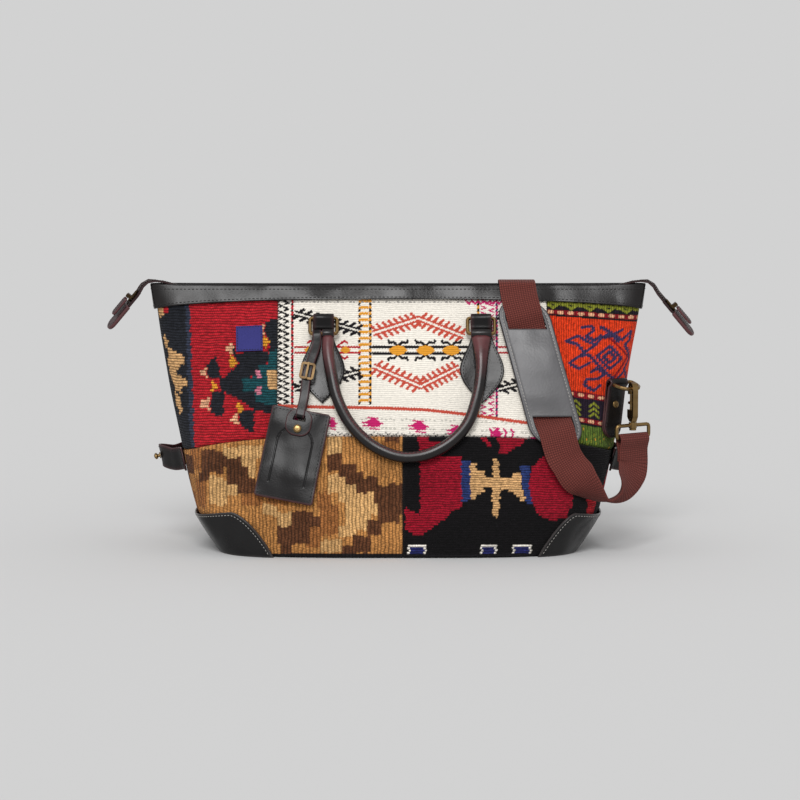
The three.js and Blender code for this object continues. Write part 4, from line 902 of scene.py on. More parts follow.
RUST_FEATHERS = [((418.6, 318.4), ((373.6, 333), (463.6, 336)), -1)]
RUST_FEATHERS += [((420.6, 386.2), ((374, 366), (459, 367)), 1)]
for apex, ends, rise in RUST_FEATHERS:
    for end, way in zip(ends, (-1, 1)):
        feather(cream_shapes, "rust", apex, end, 8, (way * 4.8, rise * 6.0), 2.1)
for y in (346.8, 353.2):
    cream_shapes.append(("black", [(373, y), (470, y)], 2.8))
OVAL_MIDDLE = 350
OVAL_ARM = [(0, 4), (4, 8), (8.6, 7.4), (9.6, 9.6)]
OVAL = [(-10, 0), (-5, -4), (0, -5), (5, -4), (10, 0), (5, 4), (0, 5.2), (-5, 4)]
for x in (398, 425.4, 451.5):
    for way, rise in QUARTERS:
        cream_shapes.append(("black", placed(OVAL_ARM, x, OVAL_MIDDLE, way, rise), 2.6))
    cream_shapes.append(("gold", placed(OVAL, x, OVAL_MIDDLE)))
for step in range(70):
    x = 277 + step * 4.0
    cream_shapes.append(("grey", box(x, 301 + (step % 3) * 0.5, x + 2.6, 302.4)))
    drop = 0.00012 * (x - 330) ** 2
    if step % 5:
        cream_shapes.append(("ash", box(x, 417.4 + drop + step % 2, x + 2.4, 419 + drop + step % 2)))
        cream_shapes.append(("ash", box(x, 427 + drop, x + 2.8, 428.6 + drop)))
    cream_shapes.append(("grey", box(x, 431.4 + drop + step % 3, x + 1.8, 433 + drop + step % 3)))
    cream_shapes.append(("charcoal", box(x + 2.2, 434.4 + drop - step % 2, x + 3.6, 436 + drop - step % 2)))
for x in range(466, 510, 6):
    cream_shapes.append(("cerise", [(x, 300.4), (x + 3, 303.6), (x + 6, 300.4)], 2.0))
RUST_LINE = [
    (270, 405.6), (313, 406.8), (382, 407.8), (425, 409.6), (455, 412.8), (488, 417), (523, 422),
    (565, 427),
]
cream_shapes.append(("rust", RUST_LINE, 3.2))
TUFT = [(-1, -1), (-0.5, -3.4), (0, -4.6), (0.5, -3), (1, 0.8), (0.4, 4), (-0.3, 4.6)]
STRANDS = [(-1.2, 2.6, 1.9), (-0.7, -5.4, 1.2), (-1.3, -0.4, 2.4), (-0.4, 5.6, 1.1)]
TUFT_PLACES = [
    (296, 422, 4), (332.5, 423, 4), (373.5, 422.8, 8.5), (419.3, 426, 8.5), (456.5, 430.6, 7),
    (497, 433, 5), (540, 438, 7),
]
for x, y, half in TUFT_PLACES:
    cream_shapes.append(("cerise", placed(TUFT, x, y, half)))
    for dx, dy, run in STRANDS:
        cream_shapes.append(("cerise", placed([(dx, dy), (dx + run, dy + 0.8)], x, y, half), 1.5))
for x in (490, 497, 504, 511):
    cream_shapes.append(("cerise", [(x, 429), (x + 2.4, 432), (x + 1, 437)], 2.0))
print("cream patch:", len(cream_shapes), "shapes")

# %% [markdown]
# ### Orange patch
# Guard stripes with olive leaves and beads above and below a bright field, and one hooked medallion drawn
# on the slant. The ribs stand upright here. The stripes sag towards the end of the bag, more so lower
# down.

# %% Shapes of the orange patch


def sagged(across, down):
    """Level stripes of the orange patch hang lower towards the end of the bag."""
    slope = 0.07 + 0.13 * np.clip((down - 315) / 130, 0, 1)
    return across, down - slope * np.clip(across - 580, -40, 60)


def slant_stitches(line, step=3.2, reach=1.7, rise=1.2):
    """A line as it is sewn over the ribs: short stitches that all lean the same way."""
    stitches = []
    for (x0, y0), (x1, y1) in zip(line, line[1:]):
        count = max(1, round(math.hypot(x1 - x0, y1 - y0) / step))
        for i in range(count):
            part = (i + 0.5) / count
            x, y = x0 + (x1 - x0) * part, y0 + (y1 - y0) * part
            stitches.append([(x - reach, y + rise), (x + reach, y - rise)])
    return stitches


STRIPE_START, STRIPE_END = 500, 860
ORANGE_STRIPES = [
    ("black", 270, 313), ("deep_red", 311.4, 316.2), ("black", 315.6, 317.6), ("deep_red", 391.6, 397.4),
    ("night", 397.4, 417), ("deep_red", 417, 422.4), ("black", 422, 424.4), ("green", 424, 444),
    ("red", 444, 449.6), ("black", 449.6, 480),
]
OLIVE_LEAVES = [((0, 309.5), (8, 303.4), (19, 309)), ((9, 306.5), (15, 304), (24, 304.6))]
CHEVRON = [(0, 2.6), (4.5, -1.2), (9, 2.6)]
MEDALLION_HEIGHT = 354
MEDALLION = [
    [(-28, -27), (-18, -29), (-16, -25), (-24, -18.5), (-15, -15), (-9, -20.5)], [(-9, -29), (13, -18)],
    [(13, -28), (-4.5, -18.5)], [(12.6, -18.5), (23, -27), (22, -18.5), (16, -14)],
    [(-44, -12), (-32, -18.5), (-24, -14)], [(-43, -12), (-33, -10), (-25, -2.4), (-14, -11), (-9, -17.6)],
    [(-40.5, 10), (-31, 2.3), (-21.5, -0.5), (-4.5, 14.7)], [(-38.6, 11), (-31, 14.7), (-19.6, 7)],
    [(-13, 0), (0, -11), (12.6, 0), (0, 11), (-13, 0)], [(-6.5, 0), (0, -5.8), (6, 0), (0, 5.2), (-6.5, 0)],
    [
        (-18.7, 16.6), (-13, 11.8), (-4.5, 16.6), (-12, 22.3), (-23.4, 24.2), (-25.3, 30), (-16, 34.6),
        (-9, 28),
    ],
    [(16, -14), (25, -2), (17, 10), (24, 18)], [(-4.5, 14.7), (6, 22), (16, 13)],
    [(6, 22), (0, 31), (10, 36), (18, 28)], [(-9, -17.6), (0, -24), (9, -16)], [(-31, 2.3), (-25, -2.4)],
    [(-24, -14), (-14, -11)],
]
orange_shapes = [(wool, box(STRIPE_START, top, STRIPE_END, foot)) for wool, top, foot in ORANGE_STRIPES]
for step in range(20):
    x = 516 + step * 18.5
    orange_shapes += [("olive", placed(leaf, x, 0), 2.7) for leaf in OLIVE_LEAVES]
    orange_shapes.append(("night", diamond(x + 8.5, 308.6, 2.6, 2.2)))
    for y in (402, 407, 412):
        orange_shapes.append(("olive", placed(CHEVRON, x, y), 2.2))
for step in range(34):
    x = 520 + step * 10.2
    for y in (313.6, 394.5, 419.6):
        orange_shapes.append(("salmon", [(x - 1.6, y), (x + 1.6, y)], 3.2))
for step in range(150):
    x, y = 520 + (step * 37) % 300, 426 + (step * 11) % 17
    orange_shapes.append(("olive" if step % 3 else "gold", box(x, y, x + 1.3, y + 2.6)))
for x in (610, 708, 806):
    orange_shapes.append(("deep_red", [(x, 335.5), (x + 21, 351.6), (x + 4, 373.4)], 2.2))
    for stroke in MEDALLION:
        line = placed(stroke, x, MEDALLION_HEIGHT)
        orange_shapes.append(("purple", line, 2.5))
        orange_shapes += [("purple", stitch, 1.5) for stitch in slant_stitches(line)]
print("orange patch:", len(orange_shapes), "shapes")

# %% [markdown]
# ### Brown and black patches
# The brown patch is a zigzag of stepped blocks in three browns on tan. The black patch carries a large
# stepped shape and an octagon in red, a tan bird between two blue bars, and small cups along its foot.

# %% Shapes of the brown and black patches
BROWN_BLOCKS = {
    "sand": [
        (208, 476, 223, 486), (207, 484, 227, 505), (223, 482, 241, 494), (223, 446, 262, 458),
        (239, 457, 257, 478), (326, 430, 342, 455), (329, 474, 345, 493), (337, 486, 357, 503),
        (354, 487, 377, 515), (344, 502, 370, 530), (337, 527, 355, 538), (322, 540, 342, 553),
        (277, 512, 291, 529), (262, 505, 277, 516), (150, 470, 172, 492), (120, 486, 152, 510),
        (90, 500, 122, 524),
    ],
    "brown": [
        (317, 492, 332, 508), (319, 505, 337, 535), (307, 527, 322, 548), (192, 480, 206, 508),
        (186, 447, 200, 470), (240, 494, 262, 506), (268, 488, 290, 504), (160, 492, 186, 520),
        (130, 510, 160, 540), (382, 440, 398, 456),
    ],
    "umber": [
        (201, 450, 222, 473), (217, 457, 241, 468), (226, 467, 248, 483), (236, 479, 257, 494),
        (197, 471, 208, 481), (326, 454, 342, 471), (337, 465, 357, 478), (345, 472, 365, 486),
        (357, 477, 377, 493), (374, 486, 392, 503), (389, 484, 405, 515), (377, 502, 400, 523),
        (367, 521, 382, 536), (352, 536, 372, 553), (342, 547, 355, 560), (291, 512, 312, 527),
        (307, 517, 320, 527), (277, 526, 310, 545), (281, 543, 293, 560), (172, 455, 192, 474),
        (152, 466, 176, 484), (122, 474, 154, 490), (92, 482, 124, 504), (384, 426, 400, 442),
    ],
}
brown_shapes = [(wool, box(*block)) for wool in ("brown", "sand", "umber") for block in BROWN_BLOCKS[wool]]
back_brown_shapes = [(wool, [(752 - x, y) for x, y in corners]) for wool, corners in brown_shapes]
back_brown_shapes += [(wool, [(x + 360, y) for x, y in corners]) for wool, corners in brown_shapes]

RED_SHAPE = [
    (417, 432), (429, 432), (429, 441), (441, 442), (441, 455), (462, 457), (462, 506), (452, 512),
    (446, 518), (438, 524), (430, 530), (424, 534), (416, 535.5), (405, 530), (405, 507), (420, 515),
    (420, 460),
]
BIRD = [
    (470, 463), (476, 464), (477, 469), (484, 471), (485, 477), (493, 477), (493, 460), (495.5, 458),
    (498.5, 460), (499.5, 478), (510, 478), (514, 473), (521, 474), (522, 488), (526, 502), (522, 501),
    (516, 494), (500, 488), (499, 515), (496, 517.5), (493, 516), (492, 487), (484, 488), (484, 491),
    (478, 495), (474, 499), (470.5, 499),
]
OCTAGON = [
    (545, 455), (560, 455), (571, 470), (574, 486), (573, 504), (566, 519), (550, 520), (544, 519),
    (538, 514), (533, 504), (529, 488), (530, 476), (533, 466),
]
black_shapes = [
    ("crimson", RED_SHAPE),
    ("blue", [(461, 460), (470.5, 461), (471, 500), (462, 502)]),
    ("blue", [(520, 467), (531, 465), (529, 484), (533, 504), (527, 503), (523, 488)]),
    ("tan", BIRD),
    ("crimson", OCTAGON),
    ("crimson", [(497, 436), (528, 438), (519, 446), (513, 448), (508, 453), (499, 453), (499, 446)]),
    ("crimson", [(479, 436), (487, 436), (491, 447), (487, 447), (485, 442)]),
    ("red", box(588, 500, 601, 516)),
]


def foot_cup(left, right):
    """A navy cup with a cream rim at the foot of a black patch."""
    return [("cream", box(left, 544, right, 558)), ("navy", box(left + 2, 547.6, right - 2, 558))]


for left, right in ((408.5, 426.5), (481, 497), (513, 532), (548, 566)):
    black_shapes += foot_cup(left, right)
for x in (630, 680):
    black_shapes += [
        ("red", diamond(x, 488, 16, 28)), ("tan", diamond(x, 488, 6, 13)),
        ("blue", box(x + 21, 462, x + 28, 512)),
    ]
print("brown patch:", len(brown_shapes), "black patch:", len(black_shapes), "shapes")

# %% [markdown]
# ### Back patches
# The back is not seen in the photograph. It repeats the front's wools and motifs in plain rows.

# %% Shapes of the back patches
back_red_shapes, back_cream_shapes, back_black_shapes = [], [], []
for x in range(60, 760, 58):
    for y in (332, 388):
        for wool, half_width, half_height in (("charcoal", 24, 22), ("teal", 15, 14), ("gold", 6, 6)):
            back_red_shapes.append((wool, diamond(x, y, half_width, half_height)))
        back_red_shapes.append(("charcoal", placed([(-24, -20), (-16, -24), (-14, -14)], x, y), 5))
for row, wool in ((308, "red"), (336, "black"), (366, "cerise"), (396, "black"), (424, "red")):
    for x in range(40, 800, 12):
        back_cream_shapes.append((wool, [(x, row - 7), (x + 6, row + 5), (x + 12, row - 7)], 2.6))
        back_cream_shapes.append(("gold", diamond(x + 6, row - 6, 2.4, 2.6)))
for x in range(60, 800, 64):
    for wool, half_width, half_height in (("red", 22, 30), ("charcoal", 13, 19), ("tan", 6, 10)):
        back_black_shapes.append((wool, diamond(x, 486, half_width, half_height)))
    back_black_shapes.append(("blue", box(x + 28, 460, x + 36, 512)))
    back_black_shapes += foot_cup(x - 9, x + 9)
print("back patches:", len(back_red_shapes), len(back_cream_shapes), len(back_black_shapes), "shapes")

# %% [markdown]
# ## The woven patches
# Each patch is one dense sheet on the skin. Its rim is rolled inwards where it is sewn to its neighbour,
# so the seams show as soft valleys, and slow dents keep the cloth from looking like a shell. Points are
# coloured from the pattern sheet after their place has been rounded to a row of wool, which gives the
# stepped edges.

# %% Build the patches
SEAM_SHARE = 124 / BAG_HEIGHT
SEAM_ROLL = 3.0
END_EDGE = 0.15
WALL_SLOPE = 1.1
# Cloth below this row of the pattern sheet is coloured black, a dark strip along the foot.
BLACK_FOOT_ROW = 553.8


def seam_line(x):
    return lambda share: face_angle(np.full(np.shape(share), float(x)), share * BAG_HEIGHT)


def right_end(share):
    return np.arcsin((END_EDGE / half_sizes(share * BAG_HEIGHT)[1]) ** 2)


def left_end(share):
    return math.pi - right_end(share)


def slow_dents(angle, z):
    wave = np.sin(3.1 * angle + z / 31) * np.sin(z / 23 + 1.3 * angle) + 0.6 * np.sin(7.3 * angle - z / 17)
    return -0.45 * (wave + 1.6)


flat_run, end_run = np.linspace(-1, 1, 1201), np.linspace(0, 1, 601)
end_turns = np.arcsin(end_run**2)
FINE_TURNS = np.unique(
    np.concatenate([np.arccos(np.sign(flat_run) * flat_run**2), end_turns, math.pi - end_turns])
)


def even_turns(start, stop, height, count):
    """Angles of points that stand evenly spaced along the skin at one height."""
    run = run_of(skin(FINE_TURNS, height))
    ends = np.interp([start, stop], FINE_TURNS, run)
    return np.interp(np.linspace(*ends, count), run, FINE_TURNS)


def lay_patch(
    node, from_line, to_line, upper, behind, cell, finish, ground, shapes, row_step, rows_run_across,
    settle=None,
):
    """One woven patch on the front, or on the back as the same skin turned half round."""
    low, high = (SEAM_SHARE, 1.0) if upper else (0.0, SEAM_SHARE)
    middle = (low + high) / 2
    turn = np.linspace(from_line(np.array(middle)), to_line(np.array(middle)), 200)
    width = path_length(skin(turn, middle * BAG_HEIGHT))
    rise = (high - low) * BAG_HEIGHT * WALL_SLOPE
    columns, rows = int(width / cell) + 1, int(rise / cell) + 1
    k = np.linspace(0, 1, columns)[None, :]
    share = (low + (high - low) * np.linspace(0, 1, rows))[:, None]
    starts, stops = from_line(share[:, 0]), to_line(share[:, 0])
    angle = np.stack(
        [even_turns(a, b, v * BAG_HEIGHT, columns) for a, b, v in zip(starts, stops, share[:, 0])]
    )
    z = row_height(angle, share)
    rim = np.minimum(
        np.minimum(k, 1 - k) * width, np.minimum(share - low, high - share) / (high - low) * rise,
    )
    rolled = np.clip(1 - rim / SEAM_ROLL, 0, 1)
    out = slow_dents(angle + (9 if behind else 0), z) - SEAM_ROLL * (1 - np.sqrt(1 - rolled**2))
    points = skin(angle, z) + skin_normal(angle, z) * out[..., None]
    across, down = sheet_place(angle, z)
    snapped = settle(across, down) if settle else (across, down)
    if row_step and rows_run_across:
        snapped = snapped[0], (np.floor(snapped[1] / row_step) + 0.5) * row_step
    elif row_step:
        snapped = (np.floor(snapped[0] / row_step) + 0.5) * row_step, snapped[1]
    faces, slot = grid_faces(rows, columns)[:, ::-1], "kilim_" + node.split("_")[-1]
    piece = make_mesh(f"{node}_cloth", points * half_turn(behind), [faces], "bag", finish)
    colours = weave(*snapped, ground, shapes)
    # Points below that row are coloured black, a dark strip along the foot.
    colours[down > BLACK_FOOT_ROW] = linear(WOOL["black"])
    set_colour(piece, "wool", colours)
    set_flat(piece, np.stack([across, down], -1))
    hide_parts(node)
    return len(piece.data.polygons)


UPPER, LOWER = True, False
FRONT, BACK = False, True
RED_ROW, BLACK_ROW, BROWN_ROW = 2.7, 2.4, 3.6
BACK_CELL = 1.7
left_seam, right_seam, low_seam = seam_line(-125), seam_line(155), seam_line(5)
back_upper_seam, back_lower_seam = seam_line(40), seam_line(-60)
cells = [
    lay_patch(
        "front_patch_red", left_seam, left_end, UPPER, FRONT, 1.0, RED_WOOL, "red", red_shapes, RED_ROW,
        ACROSS, ragged_rows(RED_ROW, 1.1),
    ),
    lay_patch(
        "front_patch_cream", right_seam, left_seam, UPPER, FRONT, 0.72, CREAM_WOOL, "cream", cream_shapes,
        None, ACROSS, hand_sewn,
    ),
    lay_patch(
        "front_patch_orange", right_end, right_seam, UPPER, FRONT, 0.85, ORANGE_WOOL, "orange",
        orange_shapes, None, UPRIGHT, sagged,
    ),
    lay_patch(
        "front_patch_black", right_end, low_seam, LOWER, FRONT, 0.9, BLACK_WOOL, "jet", black_shapes,
        BLACK_ROW, ACROSS, ragged_rows(BLACK_ROW, 1.2),
    ),
    lay_patch(
        "front_patch_brown", low_seam, left_end, LOWER, FRONT, 1.0, BROWN_WOOL, "honey", brown_shapes,
        BROWN_ROW, UPRIGHT, ragged_ribs(BROWN_ROW, 1.7),
    ),
    lay_patch(
        "back_patch_red", right_end, back_upper_seam, UPPER, BACK, BACK_CELL, RED_WOOL, "red",
        back_red_shapes, RED_ROW, ACROSS,
    ),
    lay_patch(
        "back_patch_cream", back_upper_seam, left_end, UPPER, BACK, BACK_CELL, CREAM_WOOL, "cream",
        back_cream_shapes, None, ACROSS,
    ),
    lay_patch(
        "back_patch_brown", right_end, back_lower_seam, LOWER, BACK, BACK_CELL, BROWN_WOOL, "honey",
        back_brown_shapes, BROWN_ROW, UPRIGHT,
    ),
    lay_patch(
        "back_patch_black", back_lower_seam, left_end, LOWER, BACK, BACK_CELL, BLACK_WOOL, "jet",
        back_black_shapes, BLACK_ROW, ACROSS,
    ),
]
print("cells in the nine patches:", cells)

# %% [markdown]
# ## Leather on the skin
# Corner patches, the mouth band and the leaf tabs are leather slabs that follow the skin. A slab is a top
# sheet and a bottom sheet joined by a rounded edge in the leather's rim colour: a painted edge, and on the
# corner patches a painted highlight. Lines of the grid crowd together near the rim, where the leather
# turns over.

# %% Slabs with rounded edges
PAINTED_EDGE = 1.5


def graded(length, step, rim=1.3):
    """Fractions along a length, close together near both ends."""
    count = max(2, int((length - 2 * rim) / step) + 1)
    lines = np.concatenate([[0, 0.15 * rim, 0.5 * rim], np.linspace(rim, length - rim, count)])
    return np.concatenate([lines, length - np.array([0.5, 0.15, 0]) * rim]) / length


def closed_slab(name, top, bottom, rim_distance, body, finish, holes=()):
    rows, columns = top.shape[:2]
    count = rows * columns
    index = np.arange(count).reshape(rows, columns)
    keep = np.ones((rows - 1, columns - 1), bool)
    for r0, r1, c0, c1 in holes:
        keep[r0:r1, c0:c1] = False
    corners = index[:-1, :-1], index[:-1, 1:], index[1:, 1:], index[1:, :-1]
    quads = np.stack(corners, -1)[keep]
    framed = np.pad(keep, 1)
    middle = framed[1:-1, 1:-1]
    beside = (framed[:-2, 1:-1], framed[1:-1, 2:], framed[2:, 1:-1], framed[1:-1, :-2])
    walls = []
    for side, other in enumerate(beside):
        bare = middle & ~other
        a, b = corners[side][bare], corners[(side + 1) % 4][bare]
        walls.append(np.stack([b, a, a + count, b + count], -1))
    faces = np.concatenate([quads, quads[:, ::-1] + count, *walls])
    used, faces = np.unique(faces, return_inverse=True)
    points = np.concatenate([top.reshape(-1, 3), bottom.reshape(-1, 3)])[used]
    piece = make_mesh(name, points, [faces.reshape(-1, 4)], body, finish)
    # The rim mask takes the leather's rim colour: a painted edge, and on the corner patches a painted
    # highlight.
    edge = np.clip(1.25 - np.asarray(rim_distance, float).ravel() / PAINTED_EDGE, 0, 1)
    set_mask(piece, "edge", np.concatenate([edge, edge])[used])
    return face_outward(piece)


def rounded(rim_distance, thickness):
    """How far the two faces stand from the middle of a slab near its rim."""
    turn = np.clip(1 - rim_distance / (thickness / 2), 0, 1)
    return thickness / 2 * (0.3 + 0.7 * np.sqrt(1 - turn**2))


def skin_run(turns, height, out=0.0):
    """Distance along the skin at one height, from the first of some angles to each of them."""
    return run_of(skin(turns, np.full(turns.shape, height), out))


def outline_area(angle, z):
    """Flat area in square metres of a cut, from its outline's run along the skin and up the slope."""
    turns, middle = np.linspace(angle.min(), angle.max(), 400), z.mean()
    ends = skin(np.full(2, angle.mean()), np.array([z.min(), z.max()]))
    slope = np.linalg.norm(ends[1] - ends[0]) / (z.max() - z.min())

    def rim_of(grid):
        return np.concatenate([grid[0, :-1], grid[:-1, -1], grid[-1, :0:-1], grid[:0:-1, 0]])

    across, up = np.interp(rim_of(angle), turns, skin_run(turns, middle)), rim_of(z) * slope
    return abs(np.dot(across, np.roll(up, -1)) - np.dot(up, np.roll(across, -1))) / 2e6


def leather_on_skin(name, node, lines, inner, step, turned, finish):
    """A slab between two side lines and two height lines of the skin, as (from, to, low, high)."""
    from_line, to_line, low, high = lines
    middle = np.array((low(0.5) + high(0.5)) / 2)
    start, stop = sorted((float(from_line(middle)), float(to_line(middle))))
    width = path_length(skin(np.linspace(0, 1, 60) * (stop - start) + start, middle * BAG_HEIGHT))
    rise = (high(0.5) - low(0.5)) * BAG_HEIGHT
    k = graded(width, step)[None, :]
    row = graded(rise, step)[:, None]
    bottom_line, top_line = np.vectorize(low)(k), np.vectorize(high)(k)
    share = bottom_line + (top_line - bottom_line) * row
    angle = from_line(share) + (to_line(share) - from_line(share)) * k
    z = row_height(angle, share)
    mid = skin(angle, z, inner + LEATHER / 2)
    local_width = np.linalg.norm(np.diff(mid, axis=1), axis=-1).sum(1)[:, None]
    local_rise = np.linalg.norm(np.diff(mid, axis=0), axis=-1).sum(0)[None, :]
    rim = np.minimum(np.minimum(k, 1 - k) * local_width, np.minimum(row, 1 - row) * local_rise)
    stand = rounded(rim, LEATHER)
    flip = half_turn(turned)
    top = skin(angle, z, inner + LEATHER / 2 + stand) * flip
    bottom = skin(angle, z, inner + LEATHER / 2 - stand) * flip
    piece = closed_slab(name, top, bottom, rim, "bag", finish)
    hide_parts(node)
    cut = (local_width.max() / 1000, local_rise.max() / 1000)
    min(outline_area(angle, z), cut[0] * cut[1])
    return piece


print("slab helpers ready")

# %% [markdown]
# ## Stitches
# Sewing is what makes the trim look made. Each stitch is a short capsule of thread lying a little proud
# of the leather, with a gap to the next. A whole row is one mesh.

# %% Rows of stitches
STITCH_SIDES = 6


def along_path(points, spacing):
    """Evenly spaced places along a polyline, as (segment, share) pairs."""
    total = run_of(points)
    steps = np.linalg.norm(np.diff(points, axis=0), axis=-1)
    count = max(1, int(total[-1] / spacing))
    marks = (np.arange(count) + 0.5) * total[-1] / count
    segment = np.clip(np.searchsorted(total, marks) - 1, 0, len(steps) - 1)
    return segment, ((marks - total[segment]) / np.maximum(steps[segment], 1e-9))[:, None]


def stitch_row(name, points, normals, body, finish=None, pitch=4.2, length=2.7, radius=0.45):
    points = np.asarray(points, float)
    normals = np.broadcast_to(np.asarray(normals, float), points.shape)
    segment, share = along_path(points, pitch)
    at = points[segment] * (1 - share) + points[segment + 1] * share
    ahead = unit(points[segment + 1] - points[segment])
    out = unit(normals[segment])
    side = np.cross(out, ahead)
    rings = np.array([(-0.5, 0.05), (-0.42, 0.75), (-0.15, 1.0), (0.15, 1.0), (0.42, 0.75), (0.5, 0.05)])
    turn = np.arange(STITCH_SIDES) * 2 * math.pi / STITCH_SIDES
    shape_along = np.repeat(rings[:, 0] * length, STITCH_SIDES)
    shape_side = (rings[:, 1:2] * np.cos(turn) * radius).ravel()
    shape_out = (rings[:, 1:2] * np.sin(turn) * radius).ravel()
    spots = (
        at[:, None]
        + ahead[:, None] * shape_along[None, :, None]
        + side[:, None] * shape_side[None, :, None]
        + out[:, None] * (shape_out[None, :, None] + radius * 0.25)
    )
    one = grid_faces(len(rings), STITCH_SIDES, wrap_columns=True)
    ring = np.arange(STITCH_SIDES)
    caps = np.stack([ring[::-1], ring + (len(rings) - 1) * STITCH_SIDES])
    shift = (np.arange(len(at)) * len(rings) * STITCH_SIDES)[:, None, None]
    faces = [(one[None] + shift).reshape(-1, 4), (caps[None] + shift).reshape(-1, STITCH_SIDES)]
    return make_mesh(name, spots, faces, body, finish or THREAD)


def skin_stitches(name, angle, z, level, turned, finish=None, **sizes):
    flip = half_turn(turned)
    return stitch_row(
        name, skin(angle, z, level) * flip, skin_normal(angle, z) * flip, "bag", finish, **sizes,
    )


print("stitch helper ready")

# %% [markdown]
# ## Corner patches and mouth band
# A quarter-round of leather guards each lower corner, sewn on along its curved edge. The band binds the
# mouth: it is lower at the ends of the bag and carries two rows of stitches.

# %% Corners and band
LEFT_CORNER_EDGE = float(face_angle(np.array(-126.0), np.array(0.0)))
RIGHT_CORNER_EDGE = float(face_angle(np.array(142.0), np.array(0.0)))
CORNER_RISE, CORNER_SEAT, SEAM_INSET = 52, 1.1, 3.2
BAND_DEPTH, BAND_DROP, BAND_RISE = 11.5, 6.5, 3


def corner_height(k, inset=0.0):
    arch = math.sqrt(max(0.0, 1 - (1 - min(1, k / 0.2)) ** 2))
    return max(0.1, arch) * CORNER_RISE / BAG_HEIGHT - inset / BAG_HEIGHT


def band_low(k):
    return 1 - (BAND_DEPTH + BAND_DROP * abs(2 * k - 1)) / BAG_HEIGHT


def always(value):
    return lambda *_: value


for half, turned in (("front", False), ("back", True)):
    left, right = ("right", "left") if turned else ("left", "right")
    left_lines = (always(LEFT_CORNER_EDGE), left_end, always(0.0), corner_height)
    right_lines = (right_end, always(RIGHT_CORNER_EDGE), always(0.0), lambda k: corner_height(1 - k))
    for label, lines in ((left, left_lines), (right, right_lines)):
        node = f"{half}_corner_{label}"
        # The corner leather is darker, a painted shade, and its rim is a painted highlight.
        leather_on_skin(f"{node}_leather", node, lines, CORNER_SEAT, 2.0, turned, CORNER_SHADE_AND_HIGHLIGHT_LEATHER)
    k = np.linspace(0, 1, 200) ** 2
    height = np.array([corner_height(v, SEAM_INSET) for v in k])
    k, height = k[height > 0.012], height[height > 0.012]
    for label, edge, end in ((left, LEFT_CORNER_EDGE, math.pi - 0.001), (right, RIGHT_CORNER_EDGE, 0.001)):
        inset = math.copysign(SEAM_INSET / 150, end - edge)
        angle = edge + inset + (end - edge - inset) * k
        skin_stitches(
            f"{half}_corner_{label}_stitches", angle, row_height(angle, height), CORNER_SEAT + LEATHER,
            turned, PALE_THREAD, pitch=3.6, length=2.2, radius=0.34,
        )

    band_lines = (right_end, left_end, band_low, always(1 + BAND_RISE / BAG_HEIGHT))
    # The band takes the lighter copy of the black leather, a painted highlight.
    leather_on_skin(
        f"{half}_band_leather", f"{half}_band", band_lines, CLOTH_LAY, 2.6, turned, LIT_BLACK_LEATHER,
    )
    angle = np.linspace(0.04, math.pi - 0.04, 200)
    low = np.array([band_low(a / math.pi) for a in angle])
    for label, share in (("lower", low + 2.4 / BAG_HEIGHT), ("upper", np.full(200, 1 - 1.2 / BAG_HEIGHT))):
        z = row_height(angle, share)
        skin_stitches(f"{half}_band_{label}_stitches", angle, z, CLOTH_LAY + LEATHER, turned)
print("corners and bands laid")

# %% [markdown]
# ## Straps and folds
# Chapes, ring tabs, the cinch straps, the tag's strap and the shoulder webbing are all strips that follow
# a line. A strip is swept with soft edges; its path is a smooth curve through a few named places.

# %% Strips along a smooth path


def smooth_path(points, per_span, loop=False):
    """A centripetal curve through points, as three-dimensional samples."""
    p = np.asarray(points, float)
    n = len(p)
    spans = n if loop else n - 1
    samples = []
    for i in range(spans):
        p1, p2 = p[i], p[(i + 1) % n]
        p0 = p[i - 1] if loop or i > 0 else 2 * p[0] - p[1]
        p3 = p[(i + 2) % n] if loop or i + 2 < n else 2 * p[-1] - p[-2]
        d0, d1, d2 = (max(np.linalg.norm(b - a), 1e-6) ** 0.5 for a, b in ((p0, p1), (p1, p2), (p2, p3)))
        m1 = ((p1 - p0) / d0 - (p2 - p0) / (d0 + d1) + (p2 - p1) / d1) * d1
        m2 = ((p2 - p1) / d1 - (p3 - p1) / (d1 + d2) + (p3 - p2) / d2) * d1
        t = (np.arange(per_span) / per_span)[:, None]
        samples.append(
            p1 + m1 * t + (3 * (p2 - p1) - 2 * m1 - m2) * t**2 + (2 * (p1 - p2) + m1 + m2) * t**3
        )
    if not loop:
        samples.append(p[-1:])
    return np.concatenate(samples)


